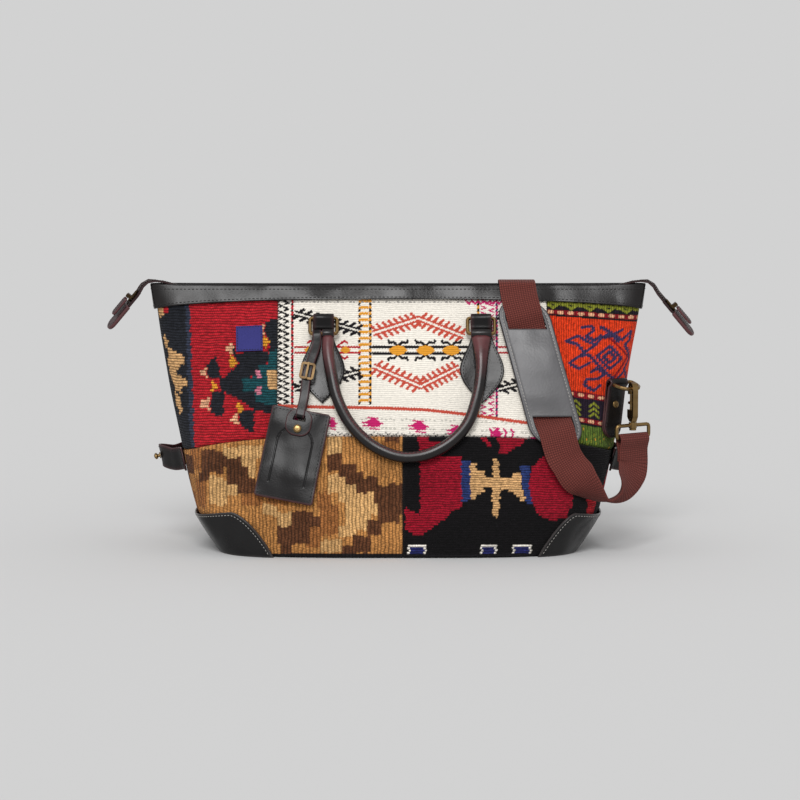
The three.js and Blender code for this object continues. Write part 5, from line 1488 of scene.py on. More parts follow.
def strip(name, centres, sides, width, thickness, body, finish, slot_name, loop=False):
    """A flat strip with half-round edges. width may change along the strip."""
    centres = np.asarray(centres, float)
    sides = np.broadcast_to(np.asarray(sides, float), centres.shape)
    if loop:
        after, before = np.roll(centres, -1, axis=0), np.roll(centres, 1, axis=0)
    else:
        after = np.concatenate([centres[1:], 2 * centres[-1:] - centres[-2:-1]])
        before = np.concatenate([2 * centres[:1] - centres[1:2], centres[:-1]])
    ahead = unit(after - before)
    across = unit(sides - ahead * (sides * ahead).sum(-1, keepdims=True))
    up = np.cross(ahead, across)
    half = np.broadcast_to(np.asarray(width, float) / 2, len(centres))[:, None]
    round_edge = thickness / 2
    turn = np.linspace(-math.pi / 2, math.pi / 2, 7)
    flat_run = np.linspace(1, -1, 7)[1:-1]
    run = half - round_edge
    edge_run = run + round_edge * np.cos(turn)
    s = np.concatenate([edge_run, run * flat_run, -edge_run, -run * flat_run], axis=1)
    lift = np.concatenate([np.sin(turn), np.ones(5), -np.sin(turn), -np.ones(5)]) * round_edge
    points = centres[:, None] + across[:, None] * s[..., None] + up[:, None] * lift[None, :, None]
    rows, columns = points.shape[:2]
    faces = [grid_faces(rows, columns, wrap_rows=loop, wrap_columns=True)]
    if not loop:
        ring = np.arange(columns)
        faces.append(np.stack([ring[::-1], ring + (rows - 1) * columns]))
    piece = make_mesh(name, points, faces, body, finish)
    set_mask(piece, "edge", np.clip(1.2 - (half - np.abs(s)) / 1.4, 0, 1))
    set_flat(piece, np.stack(np.broadcast_arrays(s, run_of(centres)[:, None]), -1))
    return face_outward(piece)


BAR_SEAT = CLOTH_LAY + LEATHER + GAP + WIRE / 2
FOLD_RADIUS = WIRE / 2 + GAP + LEATHER
CHAPE_LENGTH, CHAPE_WIDTH = 12.5, 21.4


def folded_end(length):
    """Centre line, as (up, out), of a leather end folded round a ring's bar at up = 0."""
    bend = WIRE / 2 + GAP + LEATHER / 2
    turn = np.radians(np.linspace(-90, 128, 16))
    inner_run = [(-length, CLOTH_LAY + LEATHER / 2), (-length * 0.5, CLOTH_LAY + LEATHER / 2)]
    arc = np.stack([bend * np.cos(turn), BAR_SEAT + bend * np.sin(turn)], -1)
    over = CLOTH_LAY + LEATHER * 1.5
    outer_run = [(-bend - 2.5, over + 1.1), (-length * 0.72, over + 0.1), (-length, over)]
    # The arc ends where the outer run leaves the bar, so the fold closes in the shape of a drop.
    return np.concatenate([inner_run, arc, outer_run])


def in_frame(frame_axes, x, up_out):
    """Points of an (up, out) line at x in a skin frame."""
    at, across, rise, out = frame_axes
    up_out = np.asarray(up_out, float)
    return at + across * x + rise * up_out[:, :1] + out * up_out[:, 1:2]


print("fold length of a chape:", round(path_length(folded_end(CHAPE_LENGTH)), 1), "mm")

# %% [markdown]
# ## Handle tabs
# Each handle hangs from two leaf-shaped tabs. The leaf is sewn flat to the face, and its neck, the chape,
# is folded round the bar of a brass ring. A line of stitches runs inside the edge of the leaf.

# %% Leaf tabs and chapes
BAR_HEIGHT = BAG_HEIGHT - 32.5
LEAF_TIP, LEAF_BELLY, LEAF_NECK = BAG_HEIGHT - 115, BAG_HEIGHT - 82, BAG_HEIGHT - 46
BELLY_HALF_WIDTH, NECK_HALF_WIDTH = 22.5, 10.7
HANDLE_MIDDLE, HANDLE_HALF_SPAN = 4.5, 81.5
RING_X = (HANDLE_MIDDLE - HANDLE_HALF_SPAN, HANDLE_MIDDLE + HANDLE_HALF_SPAN)
handle_axes = skin_axes(np.array(math.pi / 2), np.array(BAR_HEIGHT))


def leaf_half_width(z, inset=0.0):
    z = np.asarray(z, float)
    below = BELLY_HALF_WIDTH * np.sin(np.clip((z - LEAF_TIP) / (LEAF_BELLY - LEAF_TIP), 0, 1) * math.pi / 2)
    share = np.clip((z - LEAF_BELLY) / (LEAF_NECK - LEAF_BELLY), 0, 1)
    above = NECK_HALF_WIDTH + (BELLY_HALF_WIDTH - NECK_HALF_WIDTH) * (0.5 + 0.5 * np.cos(share * math.pi))
    return np.maximum(np.where(z < LEAF_BELLY, below, above) - inset, 0.8 if not inset else 0.0)


def leaf_side(x, way):
    return lambda share: face_angle(x + way * leaf_half_width(share * BAG_HEIGHT), share * BAG_HEIGHT)


for half, turned in (("front", False), ("back", True)):
    flip = half_turn(turned)
    for x, hand in zip(RING_X, ("right", "left") if turned else ("left", "right")):
        node = f"{half}_handle_tab_{hand}"
        heights = always(LEAF_TIP / BAG_HEIGHT), always(BAR_HEIGHT / BAG_HEIGHT)
        lines = (leaf_side(x, 1), leaf_side(x, -1), *heights)
        # The leaf takes the lighter copy of the black leather, a painted highlight.
        leather_on_skin(f"{node}_leaf", node, lines, CLOTH_LAY, 1.8, turned, LIT_BLACK_LEATHER)
        fold = in_frame(handle_axes, x, folded_end(CHAPE_LENGTH)) * flip
        side = handle_axes[1] * flip
        chape = strip(
            f"{node}_chape", fold, side, CHAPE_WIDTH, LEATHER, "bag", BLACK_LEATHER, "black_leather",
        )
        down = np.linspace(BAR_HEIGHT - 6, LEAF_TIP + 5, 90)
        z = np.concatenate([down, np.linspace(LEAF_TIP + 5, BAR_HEIGHT - 6, 90)])
        way = np.repeat([-1.0, 1.0], 90)
        angle = face_angle(x + way * leaf_half_width(z, 3.0), z)
        skin_stitches(f"{node}_stitches", angle, z, CLOTH_LAY + LEATHER, turned, pitch=3.6, length=2.3)
print("leaf tabs:", 2 * len(RING_X))

# %% [markdown]
# ## Handles
# A handle is a rolled leather cord that flattens at each end and is wrapped round the lower bar of its
# ring. The front one shares its left ring with the luggage tag, so that wrap is narrower. Its seam shows
# as a thin reddish ridge with stitches.

# %% Front and back handles
LOWER_SEAT = CLOTH_LAY + LEATHER + 0.8 + FOLD_RADIUS
RING_FALL = math.sqrt(18.5**2 - (LOWER_SEAT - BAR_SEAT) ** 2)
SHARED_WRAP_X = RING_X[0] + 12 - 1 - 6.2
HANDLE_RADIUS, SEAM_RADIUS, SEAM_TURN = 6.0, 6.3, math.radians(62)
HANDLE_STEPS, HANDLE_SIDES = 130, 28
WRAP_STEPS, WRAP_WIDTH, SHARED_WRAP_WIDTH = 40, 21.4, 12.4
WRAP_WEAR = [0.6, 0.6, 0.9, 0.5, 0, 0, 0, 0.5, 0.9]
WRAP_LIFT = 4.1
HANDLE_PATH = [
    (-69, 53.5, 4.1), (-62, 81.5, 3.7), (-48, 106.5, 2.2), (-26, 126.5, 1.2), (2, 137.5, 0.8),
    (29, 135.5, 0.8), (53, 124, 1.2), (71, 105.5, 2.2), (81, 79.5, 3.7), (85.5, 53.5, 4.1),
]


def even_samples(points, count):
    run = run_of(points)
    marks = np.linspace(0, run[-1], count)
    return np.stack([np.interp(marks, run, points[:, i]) for i in range(3)], -1)


def wrap_ring(x, width, flip):
    """The handle's end, rolled once round the ring's lower bar."""
    inner, outer, half = WIRE / 2 + GAP, FOLD_RADIUS, width / 2
    soft = 0.9
    section = [(-half, inner), (half, inner), (half, outer - soft), (half - soft * 0.3, outer - soft * 0.3)]
    section += [(half - soft, outer), (0, outer + 0.15), (soft - half, outer)]
    section += [(soft * 0.3 - half, outer - soft * 0.3), (-half, outer - soft)]
    section = np.array(section)
    turn = np.linspace(0, 2 * math.pi, WRAP_STEPS, endpoint=False)
    at, across, rise, out = handle_axes
    centre = at + across * x - rise * RING_FALL + out * LOWER_SEAT
    spin = rise * np.cos(turn)[:, None] + out * np.sin(turn)[:, None]
    points = centre + across * section[None, :, :1] + spin[:, None] * section[None, :, 1:2]
    return points * flip


for half, turned in (("front", False), ("back", True)):
    flip = half_turn(turned)
    left_x, left_width = (RING_X[0], WRAP_WIDTH) if turned else (SHARED_WRAP_X, SHARED_WRAP_WIDTH)
    at, across, rise, out = handle_axes
    start = -RING_FALL - WIRE / 2 - GAP - LEATHER / 2
    places = [at + across * left_x + rise * start + out * LOWER_SEAT]
    rest = [(left_x, 34.5, WRAP_LIFT), *HANDLE_PATH, (RING_X[1], 34.5, WRAP_LIFT)]
    places += [face_point(x, BAR_HEIGHT - fall, lift + HANDLE_RADIUS) for x, fall, lift in rest]
    places += [at + across * RING_X[1] + rise * start + out * LOWER_SEAT]
    line = even_samples(smooth_path(places, 24), HANDLE_STEPS)
    ahead = unit(np.gradient(line, axis=0))
    side = unit(np.cross(out, ahead))
    up = np.cross(ahead, side)
    share = np.linspace(0, 1, HANDLE_STEPS)
    from_end = np.minimum(share, 1 - share)
    flare = np.clip(1 - from_end / 0.12, 0, 1) ** 2
    wrap_width = np.where(share < 0.5, left_width, WRAP_WIDTH) / (2 * HANDLE_RADIUS)
    wide = (1 + (wrap_width - 1) * flare)[:, None]
    high = (1 - 0.28 * flare)[:, None]
    turn = np.linspace(0, 2 * math.pi, HANDLE_SIDES, endpoint=False)
    ridge = np.exp(-(((turn - SEAM_TURN) / 0.16) ** 2))
    radius = HANDLE_RADIUS * (0.985 + 0.07 * ridge)
    s, u = radius * np.cos(turn) * wide, radius * np.sin(turn) * high
    tube = line[:, None] + side[:, None] * s[..., None] + up[:, None] * u[..., None]
    points = [(tube * flip).reshape(-1, 3)]
    faces = [grid_faces(HANDLE_STEPS, HANDLE_SIDES, wrap_columns=True)]
    ring = np.arange(HANDLE_SIDES)
    caps = np.stack([ring[::-1], ring + (HANDLE_STEPS - 1) * HANDLE_SIDES])
    worn_end = np.clip(1.1 - from_end / 0.13, 0, 0.9)[:, None] * np.clip(1.6 * np.sin(turn), 0, 1)
    edge = [np.maximum(ridge, worn_end).ravel()]
    for x, width in ((left_x, left_width), (RING_X[1], WRAP_WIDTH)):
        count = sum(map(len, points))
        faces.append(grid_faces(WRAP_STEPS, len(WRAP_WEAR), wrap_rows=True, wrap_columns=True) + count)
        points.append(wrap_ring(x, width, flip).reshape(-1, 3))
        edge.append(np.tile(WRAP_WEAR, WRAP_STEPS))
    faces = [np.concatenate(faces), caps]
    node = f"{half}_handle"
    piece = make_mesh(
        f"{node}_leather", np.concatenate(points), faces, node, HANDLE_LEATHER,
    )
    set_mask(piece, "edge", np.concatenate(edge))
    face_outward(piece)
    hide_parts(node)
    seam_side, seam_up = math.cos(SEAM_TURN), math.sin(SEAM_TURN)
    seam_at = line + side * (SEAM_RADIUS * seam_side * wide) + up * (SEAM_RADIUS * seam_up * high)
    seam_out = side * seam_side + up * seam_up
    sewn = slice(14, -14)
    stitch_row(
        f"{node}_stitches", (seam_at * flip)[sewn], (seam_out * flip)[sewn], node, pitch=4.0, radius=0.4,
    )
print("handle length", round(path_length(line)), "mm")

# %% [markdown]
# ## Luggage tag
# Two stitched plates of leather with a slot at the top. The front plate has an arched flap cut into it,
# and a round-ended tongue comes over the top and is held by a snap. A narrow strap runs from the ring
# through the slot, under a small brass buckle.

# %% Tag plates and tongue
TAG_HEIGHT = BAG_HEIGHT - 168
TAG_TILT = math.radians(-10.5)
TAG_WIDTH, TAG_LENGTH, TAG_LEATHER = 61.0, 96.0, 2.0
SLOT_DROP, SLOT_HALF_WIDTH, SLOT_HALF_HEIGHT = 9, 6.25, 3
FLAP_HALF_WIDTH, FLAP_SHOULDER, FLAP_FOOT = 18.6, 11, -32


def twisted(side, up, turn):
    """Turns a pair of axes about the line they stand across."""
    return side * math.cos(turn) + up * math.sin(turn), up * math.cos(turn) - side * math.sin(turn)


def tilted_axes(x, z, turn):
    """Axes on the front at a place, turned in the plane of the skin."""
    x, z = np.array(float(x)), np.array(float(z))
    at, across, rise, out = skin_axes(face_angle(x, z), z)
    return at, *twisted(across, rise, turn), out


tag_axes = tilted_axes(-108, TAG_HEIGHT, TAG_TILT)


def on_plane(axes, x, y, level):
    at, across, rise, out = axes
    x, y, level = (np.asarray(v, float)[..., None] for v in np.broadcast_arrays(x, y, level))
    return at + across * x + rise * y + out * level


def slot_lines(low, high, slot_low, slot_high, step):
    """Grid lines from low to high with exact lines at the edges of a slot."""
    spans = [(low, slot_low), (slot_low, slot_high), (slot_high, high)]
    parts = [np.linspace(a, b, max(2, int((b - a) / step) + 1))[:-1] for a, b in spans]
    lines = np.concatenate([*parts, [high]])
    rim = np.array([0.15, 0.5, 1.0])
    lines = np.unique(np.concatenate([lines, low + rim, high - rim]).round(4))
    return lines, *(int(np.searchsorted(lines, edge - 1e-3)) for edge in (slot_low, slot_high))


def box_distance(x, y, half_width, half_length, radius):
    """Distance inside a round-cornered oblong from its edge."""
    qx, qy = np.abs(x) - half_width + radius, np.abs(y) - half_length + radius
    return radius - np.hypot(np.maximum(qx, 0), np.maximum(qy, 0)) - np.minimum(np.maximum(qx, qy), 0)


def round_corners(x, y, half_width, half_length, radius):
    """Draws the corners of a square grid in to round corners."""
    cx, cy = np.sign(x) * (half_width - radius), np.sign(y) * (half_length - radius)
    vx, vy = x - cx, y - cy
    corner = (vx * np.sign(x) > 0) & (vy * np.sign(y) > 0)
    pull = np.where(corner, np.maximum(np.abs(vx), np.abs(vy)) / np.maximum(np.hypot(vx, vy), 1e-9), 1)
    return cx + vx * pull, cy + vy * pull


def flap_groove(x, y):
    """Depth of the arched cut round the window flap."""
    arch = np.where(y > FLAP_SHOULDER, np.hypot(x, y - FLAP_SHOULDER), np.abs(x))
    cut = np.abs(arch - FLAP_HALF_WIDTH) < 0.55
    return np.where(cut & (y > FLAP_FOOT), 0.8, 0.0)


def tag_plate(name, node, width, length, middle_y, radius, level, groove):
    """A plate with a slot, slightly bowed."""
    half_width, half_length = width / 2, length / 2
    slot_y = TAG_LENGTH / 2 - SLOT_DROP - middle_y
    xs, c0, c1 = slot_lines(-half_width, half_width, -SLOT_HALF_WIDTH, SLOT_HALF_WIDTH, 0.8)
    ys, r0, r1 = slot_lines(
        -half_length, half_length, slot_y - SLOT_HALF_HEIGHT, slot_y + SLOT_HALF_HEIGHT, 0.8,
    )
    x, y = np.meshgrid(xs, ys)
    x, y = round_corners(x, y, half_width, half_length, radius)
    rim = np.clip(box_distance(x, y, half_width, half_length, radius), 0, None)
    stand = rounded(rim, TAG_LEATHER)
    bow = 0.5 * (1 - (x / half_width) ** 2) * (1 - (y / half_length) ** 2)
    groove_depth = groove(x, y + middle_y) if groove else 0
    top = on_plane(tag_axes, x, y + middle_y, level + TAG_LEATHER / 2 + stand + bow * 0.3 - groove_depth)
    bottom = on_plane(tag_axes, x, y + middle_y, level + TAG_LEATHER / 2 - stand)
    slot = (r0, r1, c0, c1)
    piece = closed_slab(name, top, bottom, rim, "luggage_tag", BLACK_LEATHER, [slot])
    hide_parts(node)


TAG_SEAT = 2.4
FRONT_LEVEL = TAG_SEAT + TAG_LEATHER + GAP
TONGUE_LEVEL = FRONT_LEVEL + TAG_LEATHER + GAP
SNAP_LEVEL = TONGUE_LEVEL + TAG_LEATHER + GAP
tag_plate("tag_back_leather", "tag_back", TAG_WIDTH, TAG_LENGTH, 0, 3.0, TAG_SEAT, None)
tag_plate("tag_front_leather", "tag_front", TAG_WIDTH, TAG_LENGTH, 0, 3.0, FRONT_LEVEL, flap_groove)
tag_plate(
    "tag_tongue_leather", "tag_tongue", 27, 28, TAG_LENGTH / 2 - 14, 11.0, TONGUE_LEVEL, None,
)
inset_x, inset_y = TAG_WIDTH / 2 - 3, TAG_LENGTH / 2 - 3
border = [
    (-inset_x, inset_y), (-inset_x, -inset_y), (inset_x, -inset_y), (inset_x, inset_y), (-inset_x, inset_y),
]
seam = on_plane(tag_axes, *np.array(border).T, FRONT_LEVEL + TAG_LEATHER)
stitch_row("tag_stitches", seam, tag_axes[3], "luggage_tag", pitch=3.8, length=2.4, radius=0.42)
print("tag at", [round(float(v)) for v in tag_axes[0]])

# %% Tag strap
SLOT_Y, TOP_Y = TAG_LENGTH / 2 - SLOT_DROP, TAG_LENGTH / 2
STRAP_WIDTH, STRAP, STRAP_CUT = 9, 1.6, 10.1
BUCKLE_X, BUCKLE_HEIGHT = -93, BAG_HEIGHT - 87
at, across, rise, out = handle_axes
bar = at + across * (RING_X[0] - 12 + 0.8 + 4.5) - rise * RING_FALL + out * LOWER_SEAT
grip = WIRE / 2 + GAP + STRAP / 2 + 0.5
over, under = SNAP_LEVEL + STRAP / 2, TAG_SEAT - GAP - STRAP / 2
tag_line = [
    bar + rise * grip, bar + out * grip, bar - rise * 11 + out * 2.6,
    face_point(BUCKLE_X, BUCKLE_HEIGHT, over + 0.6),
]
through_slot = [
    (TOP_Y + 14, over + 0.3), (TOP_Y - 1, over), (SLOT_Y + 1.6, over), (SLOT_Y, (over + under) / 2),
]
through_slot += [(SLOT_Y + 1.6, under), (TOP_Y - 1, under), (TOP_Y + 14, under + 0.9)]
tag_line += [on_plane(tag_axes, 0, y, level) for y, level in through_slot]
tag_line += [face_point(BUCKLE_X, BUCKLE_HEIGHT, CLOTH_LAY + LEATHER + GAP + STRAP / 2 + 0.6)]
tag_line += [bar - rise * 11 - out * 2.8, bar - out * grip]
tag_sides = [across if i < 3 or i > 11 else tag_axes[1] for i in range(len(tag_line))]
strap_line = smooth_path(tag_line, 14, loop=True)
strap_sides = unit(smooth_path(tag_sides, 14, loop=True))
leather = (STRAP_WIDTH, STRAP, "luggage_tag", BLACK_LEATHER, "black_leather")
piece = strip("tag_strap_leather", strap_line, strap_sides, *leather, loop=True)
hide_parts("tag_strap")
print("tag strap", round(path_length(strap_line)), "mm round")

# %% [markdown]
# ## Zip
# Two tapes run along the mouth, past the ends of the bag, and droop as tails. Small brass teeth stand
# along their inner edges. A slider with a leather pull closes each tail, and a leather tab caps its end.

# %% Tapes and teeth
TAIL_FALL = math.radians(50)
tail_way = np.array([math.cos(TAIL_FALL), 0, -math.sin(TAIL_FALL)])
tail_up = np.array([math.sin(TAIL_FALL), 0, math.cos(TAIL_FALL)])
tail_start = np.array([MOUTH_HALF_LENGTH + 17, 0, BAG_HEIGHT - 6.5])
tape_level, over_band = BAG_HEIGHT + 0.8, BAG_HEIGHT + BAND_RISE + 1 + GAP + 0.5 + 0.7
SLIT, OPEN_SLIT, TAIL_WIDTH, TAPE_CUT = 0.25, 1.5, 7.92, 10.9
TAILS = {"left": (5.0, 16.0), "right": (17.5, 25.0)}


def tail_line(slider_place, tail_tape):
    """Places (x, z, half slit, width) of the tape from the mouth to the end of one tail."""
    line = [(-95, tape_level, 12), (-60, tape_level, 10.56), (-26, tape_level + 0.5, 8.4)]
    line += [
        (-10, over_band, TAIL_WIDTH), (-1, over_band + 0.9, TAIL_WIDTH), (6, over_band + 0.4, TAIL_WIDTH),
    ]
    line += [(12, over_band - 4, TAIL_WIDTH)]
    line = [(MOUTH_HALF_LENGTH + x, z, SLIT, width) for x, z, width in line]
    for distance, slit in ((0, SLIT), (slider_place - 4, OPEN_SLIT), (tail_tape, OPEN_SLIT)):
        spot = tail_start + tail_way * distance
        line.append((spot[0], spot[2], slit, TAIL_WIDTH))
    return np.array(line)


tape_line = np.concatenate([tail_line(*TAILS["left"])[::-1] * [-1, 1, 1, 1], tail_line(*TAILS["right"])])
places = np.arange(len(tape_line))
dense = np.linspace(0, places[-1], 14 * places[-1] + 1)
tape_line = np.stack([np.interp(dense, places, tape_line[:, i]) for i in range(4)], -1)
centre = np.stack([tape_line[:, 0], np.zeros(len(tape_line)), tape_line[:, 1]], -1)
ahead = unit(np.gradient(centre, axis=0))
tape_up = np.stack([-ahead[:, 2], np.zeros(len(ahead)), ahead[:, 0]], -1)
LEFT_TWIST, RIGHT_TWIST = math.radians(20), math.radians(15)
past_mouth = np.clip((np.abs(centre[:, 0]) - MOUTH_HALF_LENGTH + 4) / 18, 0, 1)
twist = (np.where(centre[:, 0] < 0, LEFT_TWIST, RIGHT_TWIST) * past_mouth)[:, None]
BACKWARD = np.array([0, 1.0, 0])
tape_side = BACKWARD * np.cos(twist) + tape_up * np.sin(twist)
tape_up = tape_up * np.cos(twist) - BACKWARD * np.sin(twist)

tooth = np.array([(x, y, z) for x in (-0.75, 0.75) for y in (0.0, 2.2) for z in (-1.15, 1.15)])
tooth_faces = np.array([[0, 1, 3, 2], [4, 6, 7, 5], [0, 4, 5, 1], [2, 3, 7, 6], [0, 2, 6, 4], [1, 5, 7, 3]])
for node, way in (("zip_tape_front", -1.0), ("zip_tape_back", 1.0)):
    side = tape_side * way
    slit, width = tape_line[:, 2:3], tape_line[:, 3]
    middle = centre + side * (slit + width[:, None] / 2)
    piece = strip(f"{node}_cloth", middle, side, width, 1.0, "bag", ZIP_CLOTH, "zip_cloth")
    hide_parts(node)
    line = centre + side * slit
    segment, share = along_path(line, 2.6)
    spot = line[segment] * (1 - share) + line[segment + 1] * share + ahead[segment] * (0.65 * way)
    tooth_axes = np.stack([ahead[segment], side[segment], tape_up[segment]], 1)
    teeth = spot[:, None] + tooth @ tooth_axes
    faces = (tooth_faces[None] + (np.arange(len(spot)) * len(tooth))[:, None, None]).reshape(-1, 4)
    face_outward(make_mesh(f"{node}_teeth", teeth, [faces], "bag", TEETH_BRASS, smooth=False))
print("teeth on each side:", len(spot))

# %% End tabs and pulls
PIN_LEVEL = 1.2 + GAP + 1.5 + GAP + 0.9 + GAP + 1.4
TAB_LONG, TAB_BROAD, TAB_THICK = 32, 18, 4.0
PULL_LONG, PULL_BROAD, PULL_THICK = 22.4, 10, 2.4
PULL_LOOP = 1.75
END_STITCHES = {"pitch": 2.8, "length": 1.8, "radius": 0.22}


def round_end_slab(name, origin, axes, sizes, body, start_round):
    """A maroon leather tongue with a round far end, along the first of three axes."""
    (ahead, side, up), (length, width, thickness) = axes, sizes
    half, far_round = width / 2, width / 2 * 0.96
    k, row = graded(width, 1.4), graded(length, 1.4)
    x, y = np.meshgrid((k - 0.5) * width, row * length - length / 2)
    far_x, far_y = round_corners(x, y, half, length / 2, far_round)
    near_x, near_y = round_corners(x, y, half, length / 2, start_round)
    x, y = np.where(y > 0, far_x, near_x), np.where(y > 0, far_y, near_y)
    rim = np.clip(box_distance(x, y, half, length / 2, np.where(y > 0, far_round, start_round)), 0, None)
    stand = up * rounded(rim, thickness)[..., None]
    at = origin + ahead * (y + length / 2)[..., None] + side * x[..., None]
    return closed_slab(name, at + stand, at - stand, rim, body, MAROON_LEATHER)


for side_name, turned in (("right", False), ("left", True)):
    flip = half_turn(turned)
    twist = -LEFT_TWIST if turned else RIGHT_TWIST
    ahead, level_side, level_up = tail_way * flip, BACKWARD * flip, tail_up * flip
    side, up = twisted(level_side, level_up, twist)
    axes = (ahead, side, up)
    slider_place, tail_tape = TAILS[side_name]
    node = f"{side_name}_zip_end"
    start = (tail_start + tail_way * (tail_tape + GAP)) * flip
    tab = round_end_slab(f"{node}_tab_leather", start, axes, (TAB_LONG, TAB_BROAD, TAB_THICK), "bag", 1.0)
    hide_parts(f"{node}_tab")
    path = ((2, -6.3), (24, -6.3), (29, 0), (24, 6.3), (2, 6.3), (2, -6.3))
    path = np.array([start + ahead * a + side * b + up * TAB_THICK / 2 for a, b in path])
    stitch_row(f"{node}_stitches", path, up, "bag", **END_STITCHES)
    node = f"{side_name}_zip_pull"
    pin = (tail_start + tail_way * (slider_place + 3) + tail_up * PIN_LEVEL) * flip
    pull_start = pin + ahead * 3.6
    pull = round_end_slab(
        f"{node}_leather", pull_start, axes, (PULL_LONG, PULL_BROAD, PULL_THICK), node, 2.0,
    )
    turn = np.linspace(0.5, 2 * math.pi - 0.5, 20)[:, None]
    loop = pin + (ahead * np.cos(turn) + level_up * np.sin(turn)) * PULL_LOOP
    loop = np.concatenate([[pin + ahead * 5 + level_up * 0.6], loop, [pin + ahead * 5 - level_up * 0.6]])
    fold = strip(f"{node}_loop", loop, level_side, 5.4, 1.0, node, MAROON_LEATHER, "maroon_leather")
    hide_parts(node)
    path = ((6, -3.2), (22, -3.2), (24, 0), (22, 3.2), (6, 3.2))
    path = np.array([pin + ahead * a + side * b + up * PULL_THICK / 2 for a, b in path])
    stitch_row(f"{node}_stitches", path, up, node, **END_STITCHES)
print("zip ends made")

# %% [markdown]
# ## Strap ends and cinch straps
# At each end a leather tab is sewn to the bag and folded round a ring; a rivet holds the fold. Lower down
# a short strap stands off the end of the bag with a brass stud on it.

# %% Ring tabs and cinch straps
SIDE_RING_HEIGHT = BAG_HEIGHT - 97
TAB_AXES = {
    "right": skin_axes(np.array(math.radians(25.5)), np.array(SIDE_RING_HEIGHT)),
    "left": skin_axes(np.array(math.radians(52)), np.array(SIDE_RING_HEIGHT)),
}
CINCH_HEIGHT, CINCH_WIDTH, CINCH = 95.0, 24, 2.2
CINCH_STAND, RIVET_DROP, END_CUT = 25, 22, 25.5


def cap_points(radius, height, sides=20):
    """A shallow round head, as rings of (radius, height)."""
    rings = np.array([(1.0, 0.0), (1.0, 0.45), (0.86, 0.8), (0.5, 0.97), (0.08, 1.0)]) * [radius, height]
    turn = np.linspace(0, 2 * math.pi, sides, endpoint=False)
    x, y = rings[:, :1] * np.cos(turn), rings[:, :1] * np.sin(turn)
    return x, y, np.broadcast_to(rings[:, 1:], x.shape)


def end_point(y, out):
    depth = half_sizes(CINCH_HEIGHT)[1]
    angle = np.arcsin((abs(y) / depth) ** 2) * np.sign(-y)
    return skin(angle, CINCH_HEIGHT) + skin_normal(np.array(angle), np.array(CINCH_HEIGHT)) * out


low_end, high_end = (half_sizes(CINCH_HEIGHT + way * CINCH_WIDTH / 2)[0] for way in (-1, 1))
cinch_lean = unit(np.array([high_end - low_end, 0, CINCH_WIDTH]))
seat = CLOTH_LAY + CINCH / 2
cinch_line = [end_point(-38, seat), end_point(-24, seat + 0.6), end_point(-14, seat + 10.5)]
cinch_line += [np.array([half_sizes(CINCH_HEIGHT)[0] + CINCH_STAND, 0, CINCH_HEIGHT])]
cinch_line += [end_point(14, seat + 10.5), end_point(24, seat + 0.6), end_point(38, seat)]
cinch_line = smooth_path(cinch_line, 14)
cinch_out = np.cross(unit(np.gradient(cinch_line, axis=0)), cinch_lean)
cinch_out = cinch_out * np.sign(cinch_out[:, :1] + 1e-6)

TAB_LENGTH, TAB_WIDTH, TAB_END, TAB_LEAN = 56.0, 23.0, 12.0, -17.0


def lean(up):
    """How far the ring tab has swung to one side at a place below its ring."""
    return TAB_LEAN * (0.3 + 0.7 * np.clip(-np.asarray(up, float) / TAB_LENGTH, 0, 1))


def ring_tab_line():
    """The folded line of the tab, with close points at its two ends, and the distance from them."""
    line = folded_end(TAB_LENGTH)
    run = run_of(line)
    ends = np.array([0, 0.2, 0.6, 1.3, 2.4, 4, 6, 9, TAB_END])
    marks = np.unique(np.concatenate([run, ends, run[-1] - ends]))
    line = np.stack([np.interp(marks, run, line[:, i]) for i in (0, 1)], -1)
    return line, np.minimum(marks, run[-1] - marks)


tab_line, from_end = ring_tab_line()
tab_width = TAB_WIDTH * np.maximum(np.sqrt(1 - np.clip(1 - from_end / TAB_END, 0, 1) ** 2), 0.16)
for side_name, turned in (("right", False), ("left", True)):
    flip = half_turn(turned)
    at, across, rise, out = TAB_AXES[side_name]
    node = f"{side_name}_ring_tab"
    fold = in_frame(TAB_AXES[side_name], lean(tab_line[:, :1]), tab_line) * flip
    leather = (LEATHER, "bag", BLACK_LEATHER, "black_leather")
    tab = strip(f"{node}_leather", fold, across * flip, tab_width, *leather)
    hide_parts(node)
    front = CLOTH_LAY + 2 * LEATHER
    path = [(-9, -14), (-9, -46), (-5, -52), (0, -53.5), (5, -52), (9, -46), (9, -14)]
    path = np.array([at + across * (a + lean(b)) + rise * b + out * front for a, b in path]) * flip
    stitch_row(f"{node}_stitches", path, out * flip, "bag", pitch=3.8, length=2.4)
    x, y, lift = cap_points(3.8, 1.6)
    rivet = at + across * (x + lean(-RIVET_DROP))[..., None] + rise * (y - RIVET_DROP)[..., None]
    rivet = (rivet + out * (lift + front + 0.4)[..., None]) * flip
    faces = grid_faces(*x.shape, wrap_columns=True)
    face_outward(make_mesh(f"{node}_rivet", rivet, [faces], "bag", BRASS))
    node = f"{side_name}_cinch_strap"
    leather = (CINCH_WIDTH, CINCH, "bag", BLACK_LEATHER, "black_leather")
    cinch = strip(f"{node}_leather", cinch_line * flip, cinch_lean * flip, *leather)
    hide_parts(node)
    for edge_name, offset in (("low", -9.4), ("high", 9.4)):
        path = (cinch_line + cinch_lean * offset + cinch_out * CINCH / 2) * flip
        stitch_row(f"{side_name}_cinch_{edge_name}_stitches", path, cinch_out * flip, "bag", pitch=4.0)
print("ring tabs and cinch straps made")

# %% [markdown]
# ## Shoulder strap and pad
# One length of cotton webbing runs from the right hook, over the front, through the two slots of a padded
# leather piece, over the mouth and down the back to the left hook. Its path follows the same places as
# the frame, so it lies on the bag and does not pass through it.

